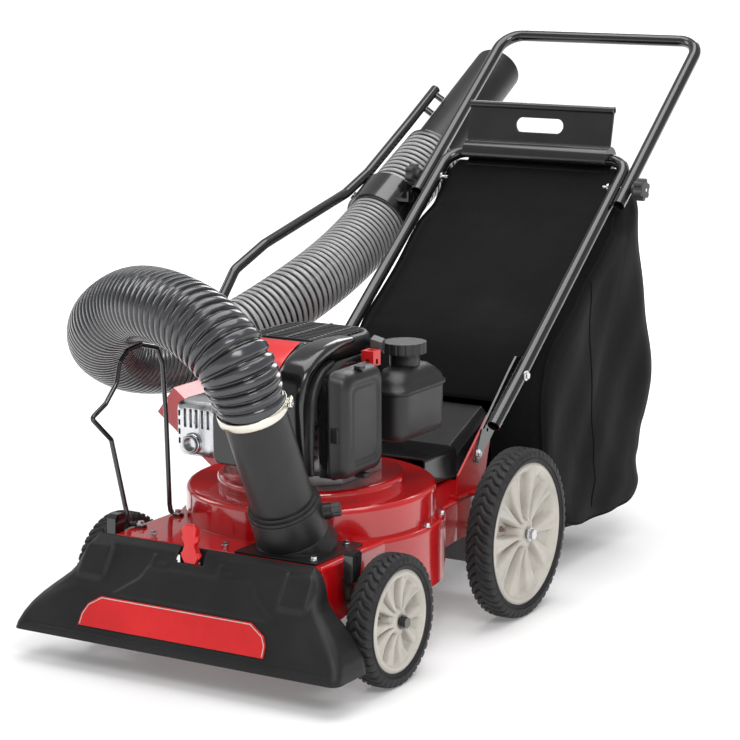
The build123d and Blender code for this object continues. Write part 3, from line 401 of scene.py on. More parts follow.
def grid_faces(rows, cols, close_rows=False, close_cols=False, start=0, flip=False, keep=None):
    """Quads over a grid of points numbered row by row from start."""
    faces = []
    for i in range(rows if close_rows else rows - 1):
        i_next = (i + 1) % rows
        for j in range(cols if close_cols else cols - 1):
            if keep is not None and not keep(i, j):
                continue
            j_next = (j + 1) % cols
            face = (start + i * cols + j, start + i_next * cols + j,
                    start + i_next * cols + j_next, start + i * cols + j_next)
            faces.append(face[::-1] if flip else face)
    return faces


def ring_of(row, steps):
    return tuple(row * steps + j for j in range(steps))


def capped_tube_faces(rings, steps):
    return (grid_faces(rings, steps, close_cols=True)
            + [ring_of(0, steps), ring_of(rings - 1, steps)])


def apply_modifiers(obj):
    bpy.context.view_layer.update()
    graph = bpy.context.evaluated_depsgraph_get()
    mesh = bpy.data.meshes.new_from_object(obj.evaluated_get(graph))
    old = obj.data
    obj.modifiers.clear()
    obj.data = mesh
    bpy.data.meshes.remove(old)


def thicken(obj, thickness, offset):
    """offset -1 grows inward, 0 both ways."""
    solidify = obj.modifiers.new("thickness", "SOLIDIFY")
    solidify.thickness = thickness
    solidify.offset = offset
    apply_modifiers(obj)


def bevelled(obj, width=0.0012):
    bevel = obj.modifiers.new("bevel", "BEVEL")
    bevel.width = width
    bevel.segments = 2
    bevel.limit_method = "ANGLE"
    apply_modifiers(obj)
    return obj


def cut(obj, cutter):
    boolean = obj.modifiers.new("cut", "BOOLEAN")
    boolean.operation = "DIFFERENCE"
    boolean.solver = "EXACT"
    boolean.object = cutter
    apply_modifiers(obj)
    mesh = cutter.data
    bpy.data.objects.remove(cutter)
    bpy.data.meshes.remove(mesh)


def attach(obj, body, slot, *replaced):
    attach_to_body(obj, body)
    if replaced:
        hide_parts(*replaced)


def between(t, t_first, first, t_second, second):
    span = t_second - t_first
    return (t_second - t) / span * first + (t - t_first) / span * second


def curve_through(stations, count):
    """Evenly spaced points on a centripetal Catmull-Rom curve, and its length."""
    ctrl = np.asarray(stations, float)
    ctrl = np.vstack([2 * ctrl[0] - ctrl[1], ctrl, 2 * ctrl[-1] - ctrl[-2]])
    dense = []
    for i in range(1, len(ctrl) - 2):
        near = ctrl[i - 1:i + 3]
        gaps = [max(np.linalg.norm(near[k + 1] - near[k]), 1e-6) ** 0.5 for k in range(3)]
        knots = np.concatenate([[0.0], np.cumsum(gaps)])
        for t in np.linspace(knots[1], knots[2], 40, endpoint=False):
            first = [between(t, knots[k], near[k], knots[k + 1], near[k + 1])
                     for k in range(3)]
            second = [between(t, knots[k], first[k], knots[k + 2], first[k + 1])
                      for k in range(2)]
            dense.append(between(t, knots[1], second[0], knots[2], second[1]))
    dense.append(ctrl[-2])
    dense = np.array(dense)
    steps = np.linalg.norm(np.diff(dense, axis=0), axis=1)
    travel = np.concatenate([[0], np.cumsum(steps)])
    wanted = np.linspace(0, travel[-1], count)
    points = np.stack([np.interp(wanted, travel, dense[:, k]) for k in range(3)], 1)
    return points, travel[-1]


def frames_along(line):
    """Two directions square to the line at each point, carried along without twist."""
    tangents = unit_rows(np.gradient(line, axis=0))
    seed = AXIS_Z if abs(tangents[0][2]) < 0.9 else AXIS_X
    normals = np.zeros_like(tangents)
    normals[0] = unit(seed - tangents[0] * seed.dot(tangents[0]))
    for i in range(1, len(line)):
        previous = normals[i - 1]
        normals[i] = unit(previous - tangents[i] * previous.dot(tangents[i]))
    return normals, np.cross(tangents, normals)


def spokes_around(normals, binormals, steps):
    turn = full_turn(steps)[None, :, None]
    return np.cos(turn) * normals[:, None] + np.sin(turn) * binormals[:, None]


def tube(name, stations, radius, material, steps, count):
    line = curve_through(stations, count)[0]
    points = line[:, None] + radius * spokes_around(*frames_along(line), steps)
    faces = grid_faces(count, steps, close_cols=True)
    faces += [ring_of(0, steps), ring_of(count - 1, steps)[::-1]]
    return solid_object(name, points, faces, material)


def revolve(profile, steps, origin, axis, start, quarter):
    """Rings of (distance along axis, radius), turning from start towards quarter."""
    turn = full_turn(steps)[:, None]
    spokes = np.cos(turn) * start + np.sin(turn) * quarter
    return np.array([origin + axis * along + radius * spokes for along, radius in profile])


# ------------------------------------------------------------------ wheels
# bead and hub are radii; x and y place the centre of the left wheel; the hollows are how
# much deeper the rim's pockets lie at the hub, between spoke pairs and within a pair
WHEELS = {
    "rear": SimpleNamespace(radius=140, width=46, bead=116, hub=23, x=244, y=0, lugs=54,
                            hollow_between=13.0, hollow_within=10.0),
    "front": SimpleNamespace(radius=101.6, width=42, bead=78, hub=19, x=249, y=-414.5, lugs=42,
                             hollow_between=10.0, hollow_within=7.0),
}
STEPS_PER_LUG = 14
RIM_STEPS = 480
SPOKE_PAIRS = 5
BORE_RADIUS = 7.0
RIM_THICKNESS = 0.0022


def wheel_centre(wheel, side):
    return np.array([side * wheel.x, wheel.y, wheel.radius])


def wheel_rings(profile, steps, wheel, side):
    """(x, radius) pairs turned round the axle; one row per angle."""
    rings = revolve(profile, steps, wheel_centre(wheel, side), AXIS_X * side, AXIS_Z, AXIS_Y)
    return rings.swapaxes(0, 1)


def wheel_surface(across, radius, angle, wheel, side):
    parts = np.broadcast_arrays(across * side, radius * np.sin(angle), radius * np.cos(angle))
    return np.stack(parts, 2) + wheel_centre(wheel, side)


def make_tyre(corner, wheel, side):
    outer, bead, half = wheel.radius, wheel.bead, wheel.width / 2
    steps = wheel.lugs * STEPS_PER_LUG
    # side wall from the bead outward: (inset from the side face, radius, groove depth)
    wall = [(5, bead + 0.4, 0), (1.0, bead + 4, 0), (0, bead + 9, 0),
            (0.2, outer - 17, 0), (0.6, outer - 13, 0.8), (1.2, outer - 9, 2.0)]
    section = [(inset - half, radius, depth) for inset, radius, depth in wall]
    for x in np.linspace(-half + 3.0, half - 3.0, 25):
        edge = abs(x) / half
        crown = 4.2 * max(0.0, (edge - 0.35) / 0.65) ** 2.4
        section.append((x, outer - crown, 3.6 if edge < 0.8 else 3.2))
    section += [(half - inset, radius, depth) for inset, radius, depth in reversed(wall)]
    across, radius, depth = np.array(section).T
    angle = full_turn(steps)[:, None]
    offset = across / half
    # swept lug rows: bent chevron bars with a small S in the middle
    sweep = 1.25 * np.abs(offset) ** 1.15 + 0.22 * np.sin(offset * np.pi * 1.5)
    phase = (angle * wheel.lugs / (2 * np.pi) + sweep) % 1.0
    groove = plateau(phase, 0.0, 0.09, 0.30, 0.42)
    wander = 0.04 * np.sin(angle * wheel.lugs)
    centre_rib = 1 - smooth(0.04, 0.09, np.abs(offset + wander))
    radius = radius - depth * np.clip(groove * (1 - 0.75 * centre_rib), 0, 1)
    tread = wheel_surface(across, np.minimum(radius, outer), angle, wheel, side)
    # the bore closes the tyre against the rim
    bore_profile = [(half - 6, bead + 0.3), (-half + 6, bead + 0.3)]
    points = np.concatenate([tread, wheel_rings(bore_profile, steps, wheel, side)], 1)
    faces = grid_faces(steps, points.shape[1], close_rows=True, close_cols=True)
    obj = solid_object(f"{corner}_tyre_tread", points, faces, MATERIAL["tyre"])
    attach(obj, f"{corner}_wheel", "tyre", f"{corner}_tyre")


def rim_heights(pair, radius, wheel):
    """Height of the rim's face; pair runs -0.5..0.5 across each pair of spokes."""
    half, bead, hub = wheel.width / 2, wheel.bead, wheel.hub
    reach = (radius - hub) / (bead - 10 - hub)
    out = np.clip(reach, 0, 1)
    # partners lean together at the hub and move apart outwards
    centre = 0.172 + 0.078 * out
    gap = np.minimum(np.abs(pair - centre), np.abs(pair + centre))
    spoke_half = 0.066 + 0.066 * out ** 0.9
    spoke = 1 - smooth(spoke_half * 0.84, spoke_half * 1.10, gap)
    ridge = 1 - np.clip(gap / (spoke_half * 0.9), 0, 1)
    facing_partner = np.abs(pair) < centre
    top = (half - 7.5 - 2.4 * np.sin(np.pi * out) + 2.8 * ridge * (0.4 + 0.6 * out)
           - 2.4 * facing_partner * out)
    pocket_between = half - 19.0 - wheel.hollow_between * (1 - out) ** 0.8
    pocket_within = half - 16.5 - wheel.hollow_within * (1 - out)
    within = 1 - smooth(centre - 0.02, centre + 0.02, np.abs(pair))
    height = blend(blend(pocket_between, pocket_within, within), top, spoke)
    # the pockets run up to the flange, then the lip and its rounded edge
    height = blend(height, half - 7.5, smooth(0.90, 1.0, reach))
    height = blend(height, half - 3.0, smooth(1.0, 1.06, reach))
    height = height - 2.4 * smooth(bead - 6, bead + 0.2, radius) ** 2
    hub_face = (half - 3.0 - 1.2 * smooth(hub * 0.5, hub * 0.95, radius)
                - 1.6 * (1 - smooth(hub * 0.52, hub * 0.6, radius)))
    return blend(height, hub_face, 1 - smooth(hub * 0.82, hub * 1.25, radius))


def make_rim(corner, wheel, side):
    half, bead, hub = wheel.width / 2, wheel.bead, wheel.hub
    seat = bead + 0.2
    angles = full_turn(RIM_STEPS)
    radii = np.concatenate([
        np.linspace(BORE_RADIUS, hub * 0.5, 4), np.linspace(hub * 0.56, hub, 5),
        np.linspace(hub + 1.5, bead - 11, 40),
        bead - np.array([9.5, 8, 6.5, 5, 3, 1.5, 0.4]), [seat]])
    angle, radius = np.meshgrid(angles, radii, indexing="ij")
    pair = angle * SPOKE_PAIRS / (2 * np.pi) % 1.0 - 0.5
    height = rim_heights(pair, radius, wheel)
    face_points = wheel_surface(height, radius, angle, wheel, side)

    def not_vent(i, j):
        # five openings near the hub, one in each gap between pairs
        turn = (angles[i] + 0.5 * angles[1]) * SPOKE_PAIRS / (2 * np.pi) % 1.0
        reach = (radii[j] - hub) / (bead - 10 - hub)
        half_width = 0.088 - 0.10 * abs(reach - 0.22)
        return not (0.06 < reach < 0.40 and min(turn, 1.0 - turn) < half_width)

    barrel = [(half - 5.4, seat), (half - 8, seat - 0.2), (0, bead - 1.5),
              (-half + 8, seat - 0.2), (-half + 3.2, seat), (-half + 3.0, seat - 4),
              (-half + 8, seat - 5.5), (half - 16, seat - 6)]
    hub_tube = [(half - 4.6, BORE_RADIUS), (-half + 1, BORE_RADIUS), (-half + 1, hub - 5),
                (half - 22, hub - 3)]
    faces = grid_faces(RIM_STEPS, len(radii), close_rows=True, keep=not_vent)
    points = [face_points.reshape(-1, 3)]
    start = len(points[0])
    for profile in (barrel, hub_tube):
        faces += grid_faces(RIM_STEPS, len(profile), close_rows=True, start=start)
        start += RIM_STEPS * len(profile)
        points.append(wheel_rings(profile, RIM_STEPS, wheel, side).reshape(-1, 3))
    obj = solid_object(f"{corner}_rim_face", np.concatenate(points), faces, MATERIAL["rim"])
    thicken(obj, RIM_THICKNESS, offset=0.0)
    attach(obj, f"{corner}_wheel", "rim", f"{corner}_rim")


for side_name, side in (("left", 1), ("right", -1)):
    for axle, wheel in WHEELS.items():
        make_tyre(f"{axle}_{side_name}", wheel, side)
        make_rim(f"{axle}_{side_name}", wheel, side)

# ------------------------------------------------------------------ suction hose
# axis of the rigid pipe that the hose is clamped on
PIPE_START = np.array([98.0, -436.0, 200.0])
PIPE_AXIS = unit(np.array([-0.04, -0.40, 0.9156]))
# hose centre line (x, y, z): up the pipe, over the front, back down the right side, then
# up to its rear end
HOSE_LINE = [PIPE_START + PIPE_AXIS * along for along in (243, 256, 269)] + [
    (70, -560, 505), (8, -550, 548), (-85, -515, 564), (-182, -462, 552), (-278, -402, 506),
    (-345, -315, 450), (-368, -195, 402), (-360, -60, 387), (-326, 60, 417),
    (-292, 183, 464), (-287, 312, 504), (-289, 430, 550), (-286, 529, 606), (-279, 640, 668)]
HOSE_RADIUS = 57.2
HOSE_INNER_RADIUS = 50.5
HOSE_RINGS = 1500
HOSE_STEPS = 72
INNER_RING_STRIDE = 10


def make_hose():
    line, length = curve_through(HOSE_LINE, HOSE_RINGS)
    normals, binormals = frames_along(line)
    travel = np.linspace(0, length, HOSE_RINGS)
    share = travel / length
    # the ribs spiral, wide apart on the front loop and closer towards the rear end
    pitch = np.interp(share, [0, 0.30, 0.5, 0.7, 1.0], [13.6, 14.2, 13.0, 12.2, 12.0])
    turns = np.cumsum(np.diff(travel) / ((pitch[1:] + pitch[:-1]) / 2))
    turns = np.concatenate([[0], turns])
    phase = (turns[:, None] + full_turn(HOSE_STEPS)[None] / (2 * np.pi)) % 1.0
    dome = np.sin(np.clip((phase - 0.02) / 0.84, 0, 1) * np.pi) ** 0.6
    profile = plateau(phase, 0.0, 0.17, 0.62, 0.88) * (0.82 + 0.18 * dome)
    ribbed = plateau(travel, 0, 26, length - 22, length)[:, None]
    depth = np.interp(share, [0, 0.35, 0.55, 1], [5.6, 5.6, 5.0, 5.0])[:, None] * ribbed
    # the front end is squeezed down on the pipe under the band
    squeeze = 1 - smooth(10, 62, travel)
    radius = HOSE_RADIUS - depth * (1 - profile) - 5.6 * squeeze[:, None]
    outer = line[:, None] + radius[..., None] * spokes_around(normals, binormals, HOSE_STEPS)
    some = slice(None, None, INNER_RING_STRIDE)
    inner_radius = HOSE_INNER_RADIUS - 1.6 * squeeze[some]
    inner = line[some][:, None] + inner_radius[:, None, None] * spokes_around(
        normals[some], binormals[some], HOSE_STEPS)

    faces = grid_faces(HOSE_RINGS, HOSE_STEPS, close_cols=True)
    inner_start = HOSE_RINGS * HOSE_STEPS
    faces += grid_faces(len(inner), HOSE_STEPS, close_cols=True, start=inner_start, flip=True)
    outer_end = (HOSE_RINGS - 1) * HOSE_STEPS
    inner_end = inner_start + (len(inner) - 1) * HOSE_STEPS
    for j in range(HOSE_STEPS):
        j_next = (j + 1) % HOSE_STEPS
        faces.append((j, j_next, inner_start + j_next, inner_start + j))
        faces.append((outer_end + j_next, outer_end + j, inner_end + j, inner_end + j_next))
    inner_count = len(inner) * HOSE_STEPS
    # rib drives the painted shade: 0 in the grooves and on the whole inner wall, which the shader
    # paints near-black; along drives the painted dark-to-pale change down the hose
    rib = profile * ribbed + 0.35 * (1 - ribbed)
    along = np.broadcast_to(share[:, None], rib.shape)
    attributes = {"rib": np.concatenate([rib.ravel(), np.zeros(inner_count)]),
                  "along": np.concatenate([along.ravel(), np.ones(inner_count)])}
    points = np.concatenate([outer.reshape(-1, 3), inner.reshape(-1, 3)])
    obj = mesh_object("corrugated_hose", to_frame(points), faces, MATERIAL["hose"],
                      attributes=attributes)
    attach(obj, "root", "hose", "suction_hose")


make_hose()

# ------------------------------------------------------------------ nozzle hood
HOOD_BACK_Y = -518.0
HOOD_CORNER = 15.0
HOOD_THICKNESS = 0.0032
WINDOW_HALF = 172.0
WINDOW_TOP = 184
# (z, half width)
HOOD_HALF_WIDTH = np.array([
    (50, 297), (60, 295), (75, 290), (90, 281), (105, 268), (118, 254), (130, 240),
    (140, 229), (150, 222), (160, 219), (172, 216), (186, 209), (200, 196)])
HOOD_LEVELS = np.concatenate([
    [50, 51.2, 54, 57, 59.5, 61, 64], np.arange(68, 186, 3.0),
    [186, 188, 190, 192.5, 195, 197, 198.6, 199.6, 200]])
# the front leans back by SLOPE_RUN for every SLOPE_RISE of height
SLOPE_RUN, SLOPE_RISE = 33.0, 65.0
SLOPE_NORMAL = unit(np.array([0, -SLOPE_RISE, SLOPE_RUN]))


def hood_half_width(z):
    return np.interp(z, *HOOD_HALF_WIDTH.T)


def hood_centre_x(z):
    return -29.0 + 17.0 * (z - 45.0) / 155.0


def slope_y(z):
    return -598 + (z - 60) * SLOPE_RUN / SLOPE_RISE


def hood_front_y(z):
    if z < 60:
        return -601.5 + (z - 45) * 0.22
    if z > 188:
        return -533 + 12.5 * min((z - 188) / 12.0, 1) ** 1.6
    return slope_y(z)


def hood_outline(z):
    """One level of the hood: up the -X side, across the front and back along +X."""
    half, front = float(hood_half_width(z)), float(hood_front_y(z))
    corner = min(HOOD_CORNER, (HOOD_BACK_Y - front) * 0.6)
    side_run = front + corner - HOOD_BACK_Y
    turn = np.linspace(0, np.pi / 2, 9)
    across = np.concatenate([np.linspace(-1, -0.2, 48, endpoint=False),
                             np.linspace(-0.2, 0.15, 30, endpoint=False),
                             np.linspace(0.15, 1, 48)])
    path = [(-half, HOOD_BACK_Y + side_run * s) for s in np.linspace(0, 1, 8, endpoint=False)]
    path += [(-half + corner - corner * np.cos(a), front + corner - corner * np.sin(a))
             for a in turn[:-1]]
    path += [(s * (half - corner), front) for s in across]
    path += [(half - corner + corner * np.sin(a), front + corner - corner * np.cos(a))
             for a in turn[1:]]
    path += [(half, front + corner - side_run * s) for s in np.linspace(0, 1, 9)[1:]]
    centre = float(hood_centre_x(z))
    return [(x + centre, y, z) for x, y in path]


def hood_relief(points):
    """Height of the moulded relief above the slope."""
    x, y, z = np.moveaxis(points, -1, 0)
    x = x - hood_centre_x(z)
    half = hood_half_width(z)
    front = smooth(4, 14, HOOD_BACK_Y - y) * (np.abs(x) < half - 6)
    # raised centre field with slanted flanks above the badge
    low_x = np.interp(z, [112, 150, 168], [-150, -96, -88])
    high_x = np.interp(z, [112, 150, 168], [176, 118, 110])
    field = smooth(0, 6, x - low_x) * smooth(0, 6, high_x - x) * plateau(z, 118, 122, 163, 170)
    # stepped bolt blocks at both upper ends
    blocks = plateau(np.abs(x), 156, 162, 205, 212) * plateau(z, 132, 146, 184, 193)
    groove = plateau(z, 61.5, 63.0, 65.5, 68.0) * (np.abs(x) < 270)
    # an upright rib with a foot on either side of the lever slot
    ribs = np.zeros_like(x)
    for rib_x in (-78, 42):
        ribs += (np.abs(x - rib_x) < 3) * plateau(z, 170, 172, 184, 186)
        ribs += (np.abs(z - 172.5) < 2.6) * (np.abs(x - rib_x - 12) < 15)
    flare = np.exp(-((np.abs(x) - half + 34) / 26.0) ** 2) * plateau(z, 64, 92, 104, 138)
    return front * (2.2 * field + 5.5 * blocks - 1.8 * groove + 1.6 * np.clip(ribs, 0, 1)
                    + 4.0 * flare)


def make_nozzle():
    points = np.array([hood_outline(z) for z in HOOD_LEVELS])
    points = points + hood_relief(points)[..., None] * SLOPE_NORMAL
    rows, cols = points.shape[:2]
    middles = (HOOD_LEVELS[1:] + HOOD_LEVELS[:-1]) / 2

    def not_slot(i, j):
        # opening for the selector lever in the top edge
        x = (points[i, j, 0] + points[i, j + 1, 0]) / 2
        return not (middles[i] > 178.5 and -56 < x < -6 and points[i, j, 1] < HOOD_BACK_Y - 1)

    faces = grid_faces(rows, cols, keep=not_slot)
    wall = []
    for z in HOOD_LEVELS:
        half, centre = float(hood_half_width(z)), float(hood_centre_x(z))
        for x in (centre - half, (centre - half - WINDOW_HALF) / 2, -WINDOW_HALF,
                  WINDOW_HALF, (centre + half + WINDOW_HALF) / 2, centre + half):
            wall.append((x, HOOD_BACK_Y, z))
    # back wall, open in the middle where the deck comes in
    for i in range(rows - 1):
        for j in range(5):
            if j == 2 and middles[i] < WINDOW_TOP:
                continue
            first = rows * cols + i * 6 + j
            faces.append((first, first + 1, first + 7, first + 6))
    points = np.concatenate([points.reshape(-1, 3), wall])
    obj = mesh_object("nozzle_hood", to_frame(points), faces, MATERIAL["nozzle_black"])
    fix_normals(obj)
    fix_normals(obj, weld=2e-5)
    thicken(obj, HOOD_THICKNESS, offset=-1.0)
    attach(obj, "root", "nozzle_black", "nozzle_shell")


make_nozzle()

# ------------------------------------------------------------------ leaf bag
# side outline (y, z), from the top rear down the back, along the bottom and up the front
BAG_OUTLINE = [
    (541, 676), (556, 650), (570, 600), (578, 545), (606, 412), (631, 285), (612, 215),
    (586, 150), (566, 66), (480, 56), (400, 58), (320, 62), (266, 78), (224, 108),
    (196, 140), (182, 196), (178, 262), (186, 330), (214, 404), (300, 470), (400, 547),
    (500, 630), (532, 668)]
BAG_CENTRE = np.array([400.0, 300.0])
BAG_HALF_WIDTH = 200.0
BAG_RINGS = 64
BAG_STEPS = 240
CLOTH_THICKNESS = 0.0016


def drape(points):
    """Sag and soft folds hung from the top, with creases towards the bottom."""
    x, y, z = np.moveaxis(points, -1, 0)
    drop = np.clip((690 - z) / 640.0, 0, 1)
    broad_folds = np.sin(x * 0.031 + 2.1 * np.sin(z * 0.011) + 0.7) * 2.0 * drop
    fine_folds = np.sin(x * 0.067 - z * 0.021 + 1.3) * 1.1 * drop
    waves = np.sin(z * 0.045 + x * 0.012) * 1.6 * (drop * (1 - drop) * 4)
    pillow = np.exp(-(x / 170.0) ** 4) * 7.0 * np.sin(np.pi * drop)
    out_y, out_z = y - BAG_CENTRE[0], z - BAG_CENTRE[1]
    distance = np.hypot(out_y, out_z) + 1e-6
    push = broad_folds + fine_folds + waves - 4.0 + pillow * 0.6
    # the front and the top are held nearly still
    freedom = np.where((y < 230) | (z > 600), 0.25, 1.0)
    side = smooth(150, 200, np.abs(x))
    shift = push * freedom * (1 - 0.6 * side)
    ripple = np.sin(y * 0.024 + z * 0.017 + 0.4) * 2.8 + np.sin(y * 0.051 - z * 0.033) * 1.5
    creases = 3.0 * np.sin(z * 0.09 + y * 0.02) * smooth(0.6, 1.0, drop)
    # the cloth is drawn in round one place near the upper rear
    drawn_in = 1 - smooth(50, 84, np.hypot(y - 486.0, z - 648.5))
    new_x = x + np.sign(x) * side * (1 - drawn_in) * (ripple - 5.0 + creases)
    return np.stack([new_x * (1 - 0.075 * drawn_in), y + out_y / distance * shift,
                     z + out_z / distance * shift], -1)


def side_panel(edge, side):
    """Rings drawn in from an edge of the bag towards the middle of its side."""
    rings = []
    for scale in np.linspace(0.93, 0.02, 26):
        ring = edge.copy()
        ring[:, 1:] = BAG_CENTRE + (edge[:, 1:] - BAG_CENTRE) * scale
        bulge = 6.0 * min(1.0, (1 - scale) * 8) - 9.0 * (1 - scale)
        ring[:, 0] = side * (BAG_HALF_WIDTH + bulge)
        rings.append(ring)
    return drape(np.array(rings))


def make_bag_cloth():
    outline = [(0.0, y, z) for y, z in BAG_OUTLINE + BAG_OUTLINE[:1]]
    loop = curve_through(outline, BAG_STEPS + 1)[0][:-1, 1:]
    rings = []
    for offset in np.linspace(-1, 1, BAG_RINGS):
        scale = 1.0 - 0.055 * smooth(0.86, 1.0, abs(offset))
        outline = BAG_CENTRE + (loop - BAG_CENTRE) * scale
        rings.append(np.column_stack([np.full(BAG_STEPS, BAG_HALF_WIDTH * offset), outline]))
    flat = np.array(rings)
    body = drape(flat)

    def not_mouth(i, j):
        # opening round the discharge chute
        x, y, z = body[i, j]
        return not (y < 215 and -66 < x < 98 and 192 < z < 304)

    faces = grid_faces(BAG_RINGS, BAG_STEPS, close_cols=True, keep=not_mouth)
    points = [body.reshape(-1, 3)]
    start = BAG_RINGS * BAG_STEPS
    for side, ring in ((-1, 0), (1, BAG_RINGS - 1)):
        panel = side_panel(flat[ring], side)
        edge = ring * BAG_STEPS
        for j in range(BAG_STEPS):
            j_next = (j + 1) % BAG_STEPS
            faces.append((edge + j, edge + j_next, start + j_next, start + j))
        faces += grid_faces(len(panel), BAG_STEPS, close_cols=True, start=start)
        start += len(panel) * BAG_STEPS
        faces.append(tuple(range(start - BAG_STEPS, start)))
        points.append(panel.reshape(-1, 3))
    obj = solid_object("hanging_leaf_bag", np.concatenate(points), faces,
                       MATERIAL["bag_fabric"])
    thicken(obj, CLOTH_THICKNESS, offset=-1.0)
    attach(obj, "bag", "bag_fabric", "leaf_bag")
    return obj, body


def make_edge_seams(body):
    """Bound seams along both side edges."""
    for ring, side, suffix in ((1, -1, "r"), (BAG_RINGS - 2, 1, "l")):
        line = body[ring][::3]
        line = np.vstack([line, line[:1]])
        line[:, 0] += side * 3.0
        outward = line - np.array([0, *BAG_CENTRE])
        outward[:, 0] = 0
        line += unit_rows(outward) * 1.2
        seam = tube(f"bag_bound_seam_{suffix}", line, 2.2, MATERIAL["web"], steps=8, count=260)
        attach(seam, "bag", "bag_fabric")


def make_side_seams(bag):
    """Stitched seam down the middle of each side, laid on the cloth itself."""
    bm = bmesh.new()
    bm.from_mesh(bag.data)
    tree = BVHTree.FromBMesh(bm)
    bm.free()
    for side, suffix in ((1, "l"), (-1, "r")):
        line = []
        for z in np.linspace(520, 92, 60):
            y = 372 + 10 * math.sin(z * 0.011)
            hit = tree.ray_cast(point(side * 320, y, z), Vector((-side, 0, 0)))[0]
            if hit is not None:
                line.append(((hit.x - ORIGIN_X) * 1000 + side * 0.5,
                             (hit.y - ORIGIN_Y) * 1000, hit.z * 1000))
        if len(line) > 8:
            seam = tube(f"bag_side_seam_{suffix}", line[::2], 1.5, MATERIAL["web"],
                        steps=8, count=120)
            attach(seam, "bag", "bag_fabric")


bag_object, bag_body = make_bag_cloth()
make_edge_seams(bag_body)
make_side_seams(bag_object)

# ------------------------------------------------------------------ cover builders
ARC_POINTS = 7
STRAIGHT_STEPS = 6
BAND_RINGS = 70
BAND_STEPS = 40


def rounded_rectangle(a_low, a_high, b_low, b_high, radius):
    radius = min(radius, (a_high - a_low) / 2 - 0.01, (b_high - b_low) / 2 - 0.01)
    corners = ((a_high - radius, b_high - radius), (a_low + radius, b_high - radius),
               (a_low + radius, b_low + radius), (a_high - radius, b_low + radius))
    outline = []
    for quarter, (a, b) in enumerate(corners):
        for degrees in np.linspace(0, 90, ARC_POINTS):
            turn = math.radians(90 * quarter + degrees)
            outline.append((a + radius * math.cos(turn), b + radius * math.sin(turn)))
    # divide the straight runs so the skin shades cleanly
    outline = np.array(outline + [outline[0]])
    steps = np.linalg.norm(np.diff(outline, axis=0), axis=1)
    travel = np.concatenate([[0], np.cumsum(steps)])
    wanted = [0.0]
    for i in range(1, len(travel)):
        parts = STRAIGHT_STEPS if i % ARC_POINTS == 0 else 1
        gap = travel[i] - travel[i - 1]
        wanted += list(travel[i - 1] + gap * (np.arange(1, parts + 1) / parts))
    wanted = np.array(wanted[:-1])
    return np.stack([np.interp(wanted, travel, outline[:, k]) for k in (0, 1)], 1)


def cap_loops(loop):
    centre = (loop.max(0) + loop.min(0)) / 2
    return [centre + (loop - centre) * scale for scale in (0.97, 0.6, 0.2)]


def loft(name, sections, axis, material):
    """Skin over rounded rectangles stacked along one axis.

    Each section is (level, a low, a high, b low, b high, corner radius); a and b are the
    other two axes in x, y, z order.
    """
    loops = [rounded_rectangle(*section[1:]) for section in sections]
    loops = cap_loops(loops[0])[::-1] + loops + cap_loops(loops[-1])
    levels = [section[0] for section in sections]
    levels = [levels[0]] * 3 + levels + [levels[-1]] * 3
    stack, a_axis, b_axis = {"x": (0, 1, 2), "y": (1, 0, 2), "z": (2, 0, 1)}[axis]
    loops = np.array(loops)
    points = np.zeros((*loops.shape[:2], 3))
    points[..., stack] = np.array(levels)[:, None]
    points[..., a_axis] = loops[..., 0]
    points[..., b_axis] = loops[..., 1]
    return solid_object(name, points, capped_tube_faces(*loops.shape[:2]), material)


def band(name, stations, half_widths, half_depths, material, squareness=0.42):
    """Wide flat strap along a line in a YZ plane; a lower squareness is boxier."""
    line = curve_through(stations, BAND_RINGS)[0]
    tangents = unit_rows(np.gradient(line, axis=0))
    normals = unit_rows(np.stack([np.zeros(BAND_RINGS), -tangents[:, 2], tangents[:, 1]], 1))
    sideways = np.cross(tangents, normals)
    turn = full_turn(BAND_STEPS)
    across = signed_power(np.cos(turn), squareness)
    deep = signed_power(np.sin(turn), squareness + 0.35)

    def spread(values):
        share = np.linspace(0, 1, BAND_RINGS)
        return np.interp(share, np.linspace(0, 1, len(values)), values)[:, None]

    points = (line[:, None] + (spread(half_widths) * across)[..., None] * sideways[:, None]
              + (spread(half_depths) * deep)[..., None] * normals[:, None])
    return solid_object(name, points, capped_tube_faces(BAND_RINGS, BAND_STEPS), material)


def boxes(name, bars, material):
    """Plain bars, each (x low, x high, y low, y high, z low, z high)."""
    bm = bmesh.new()
    for bar in bars:
        low, high = np.array(bar[::2]), np.array(bar[1::2])
        for vert in bmesh.ops.create_cube(bm, size=1.0)["verts"]:
            vert.co = Vector(to_frame(low + (np.array(vert.co) + 0.5) * (high - low)))
    mesh = bpy.data.meshes.new(name)
    bm.to_mesh(mesh)
    bm.free()
    mesh.materials.append(material)
    return link_object(name, mesh)


def turned(name, profile, origin, axis, quarter, material):
    points = revolve(profile, 48, np.array(origin), axis, AXIS_X, quarter)
    return solid_object(name, points, grid_faces(len(profile), 48, close_cols=True), material)


# ------------------------------------------------------------------ engine covers
GLOSS = MATERIAL["gloss_black"]
GREY = MATERIAL["engine_grey"]
ZINC = MATERIAL["zinc"]
RED = MATERIAL["plastic_red"]
BAND_X = -14
SLAT_COUNT = 13
SLAT_PITCH = 10.8


def make_shroud():
    body = loft("blower_shroud", [
        (378, -94, 94, -399, -149, 26), (380, -95, 95, -400, -148, 28),
        (410, -95, 95, -400, -148, 34), (432, -93, 93, -397, -150, 38),
        (448, -89, 89, -389, -154, 42), (457, -83, 83, -380, -160, 44),
        (462, -74, 74, -368, -168, 44)], "z", GLOSS)
    attach(body, "root", SLOT["blower_housing"], "blower_housing")
    skirt = loft("shroud_front_skirt", [
        (-399.5, -78, 82, 302, 384, 12), (-397, -80, 84, 300, 386, 14),
        (-388, -80, 84, 300, 386, 14), (-384, -78, 82, 302, 384, 12)], "y", GLOSS)
    attach(skirt, "root", SLOT["blower_housing"])


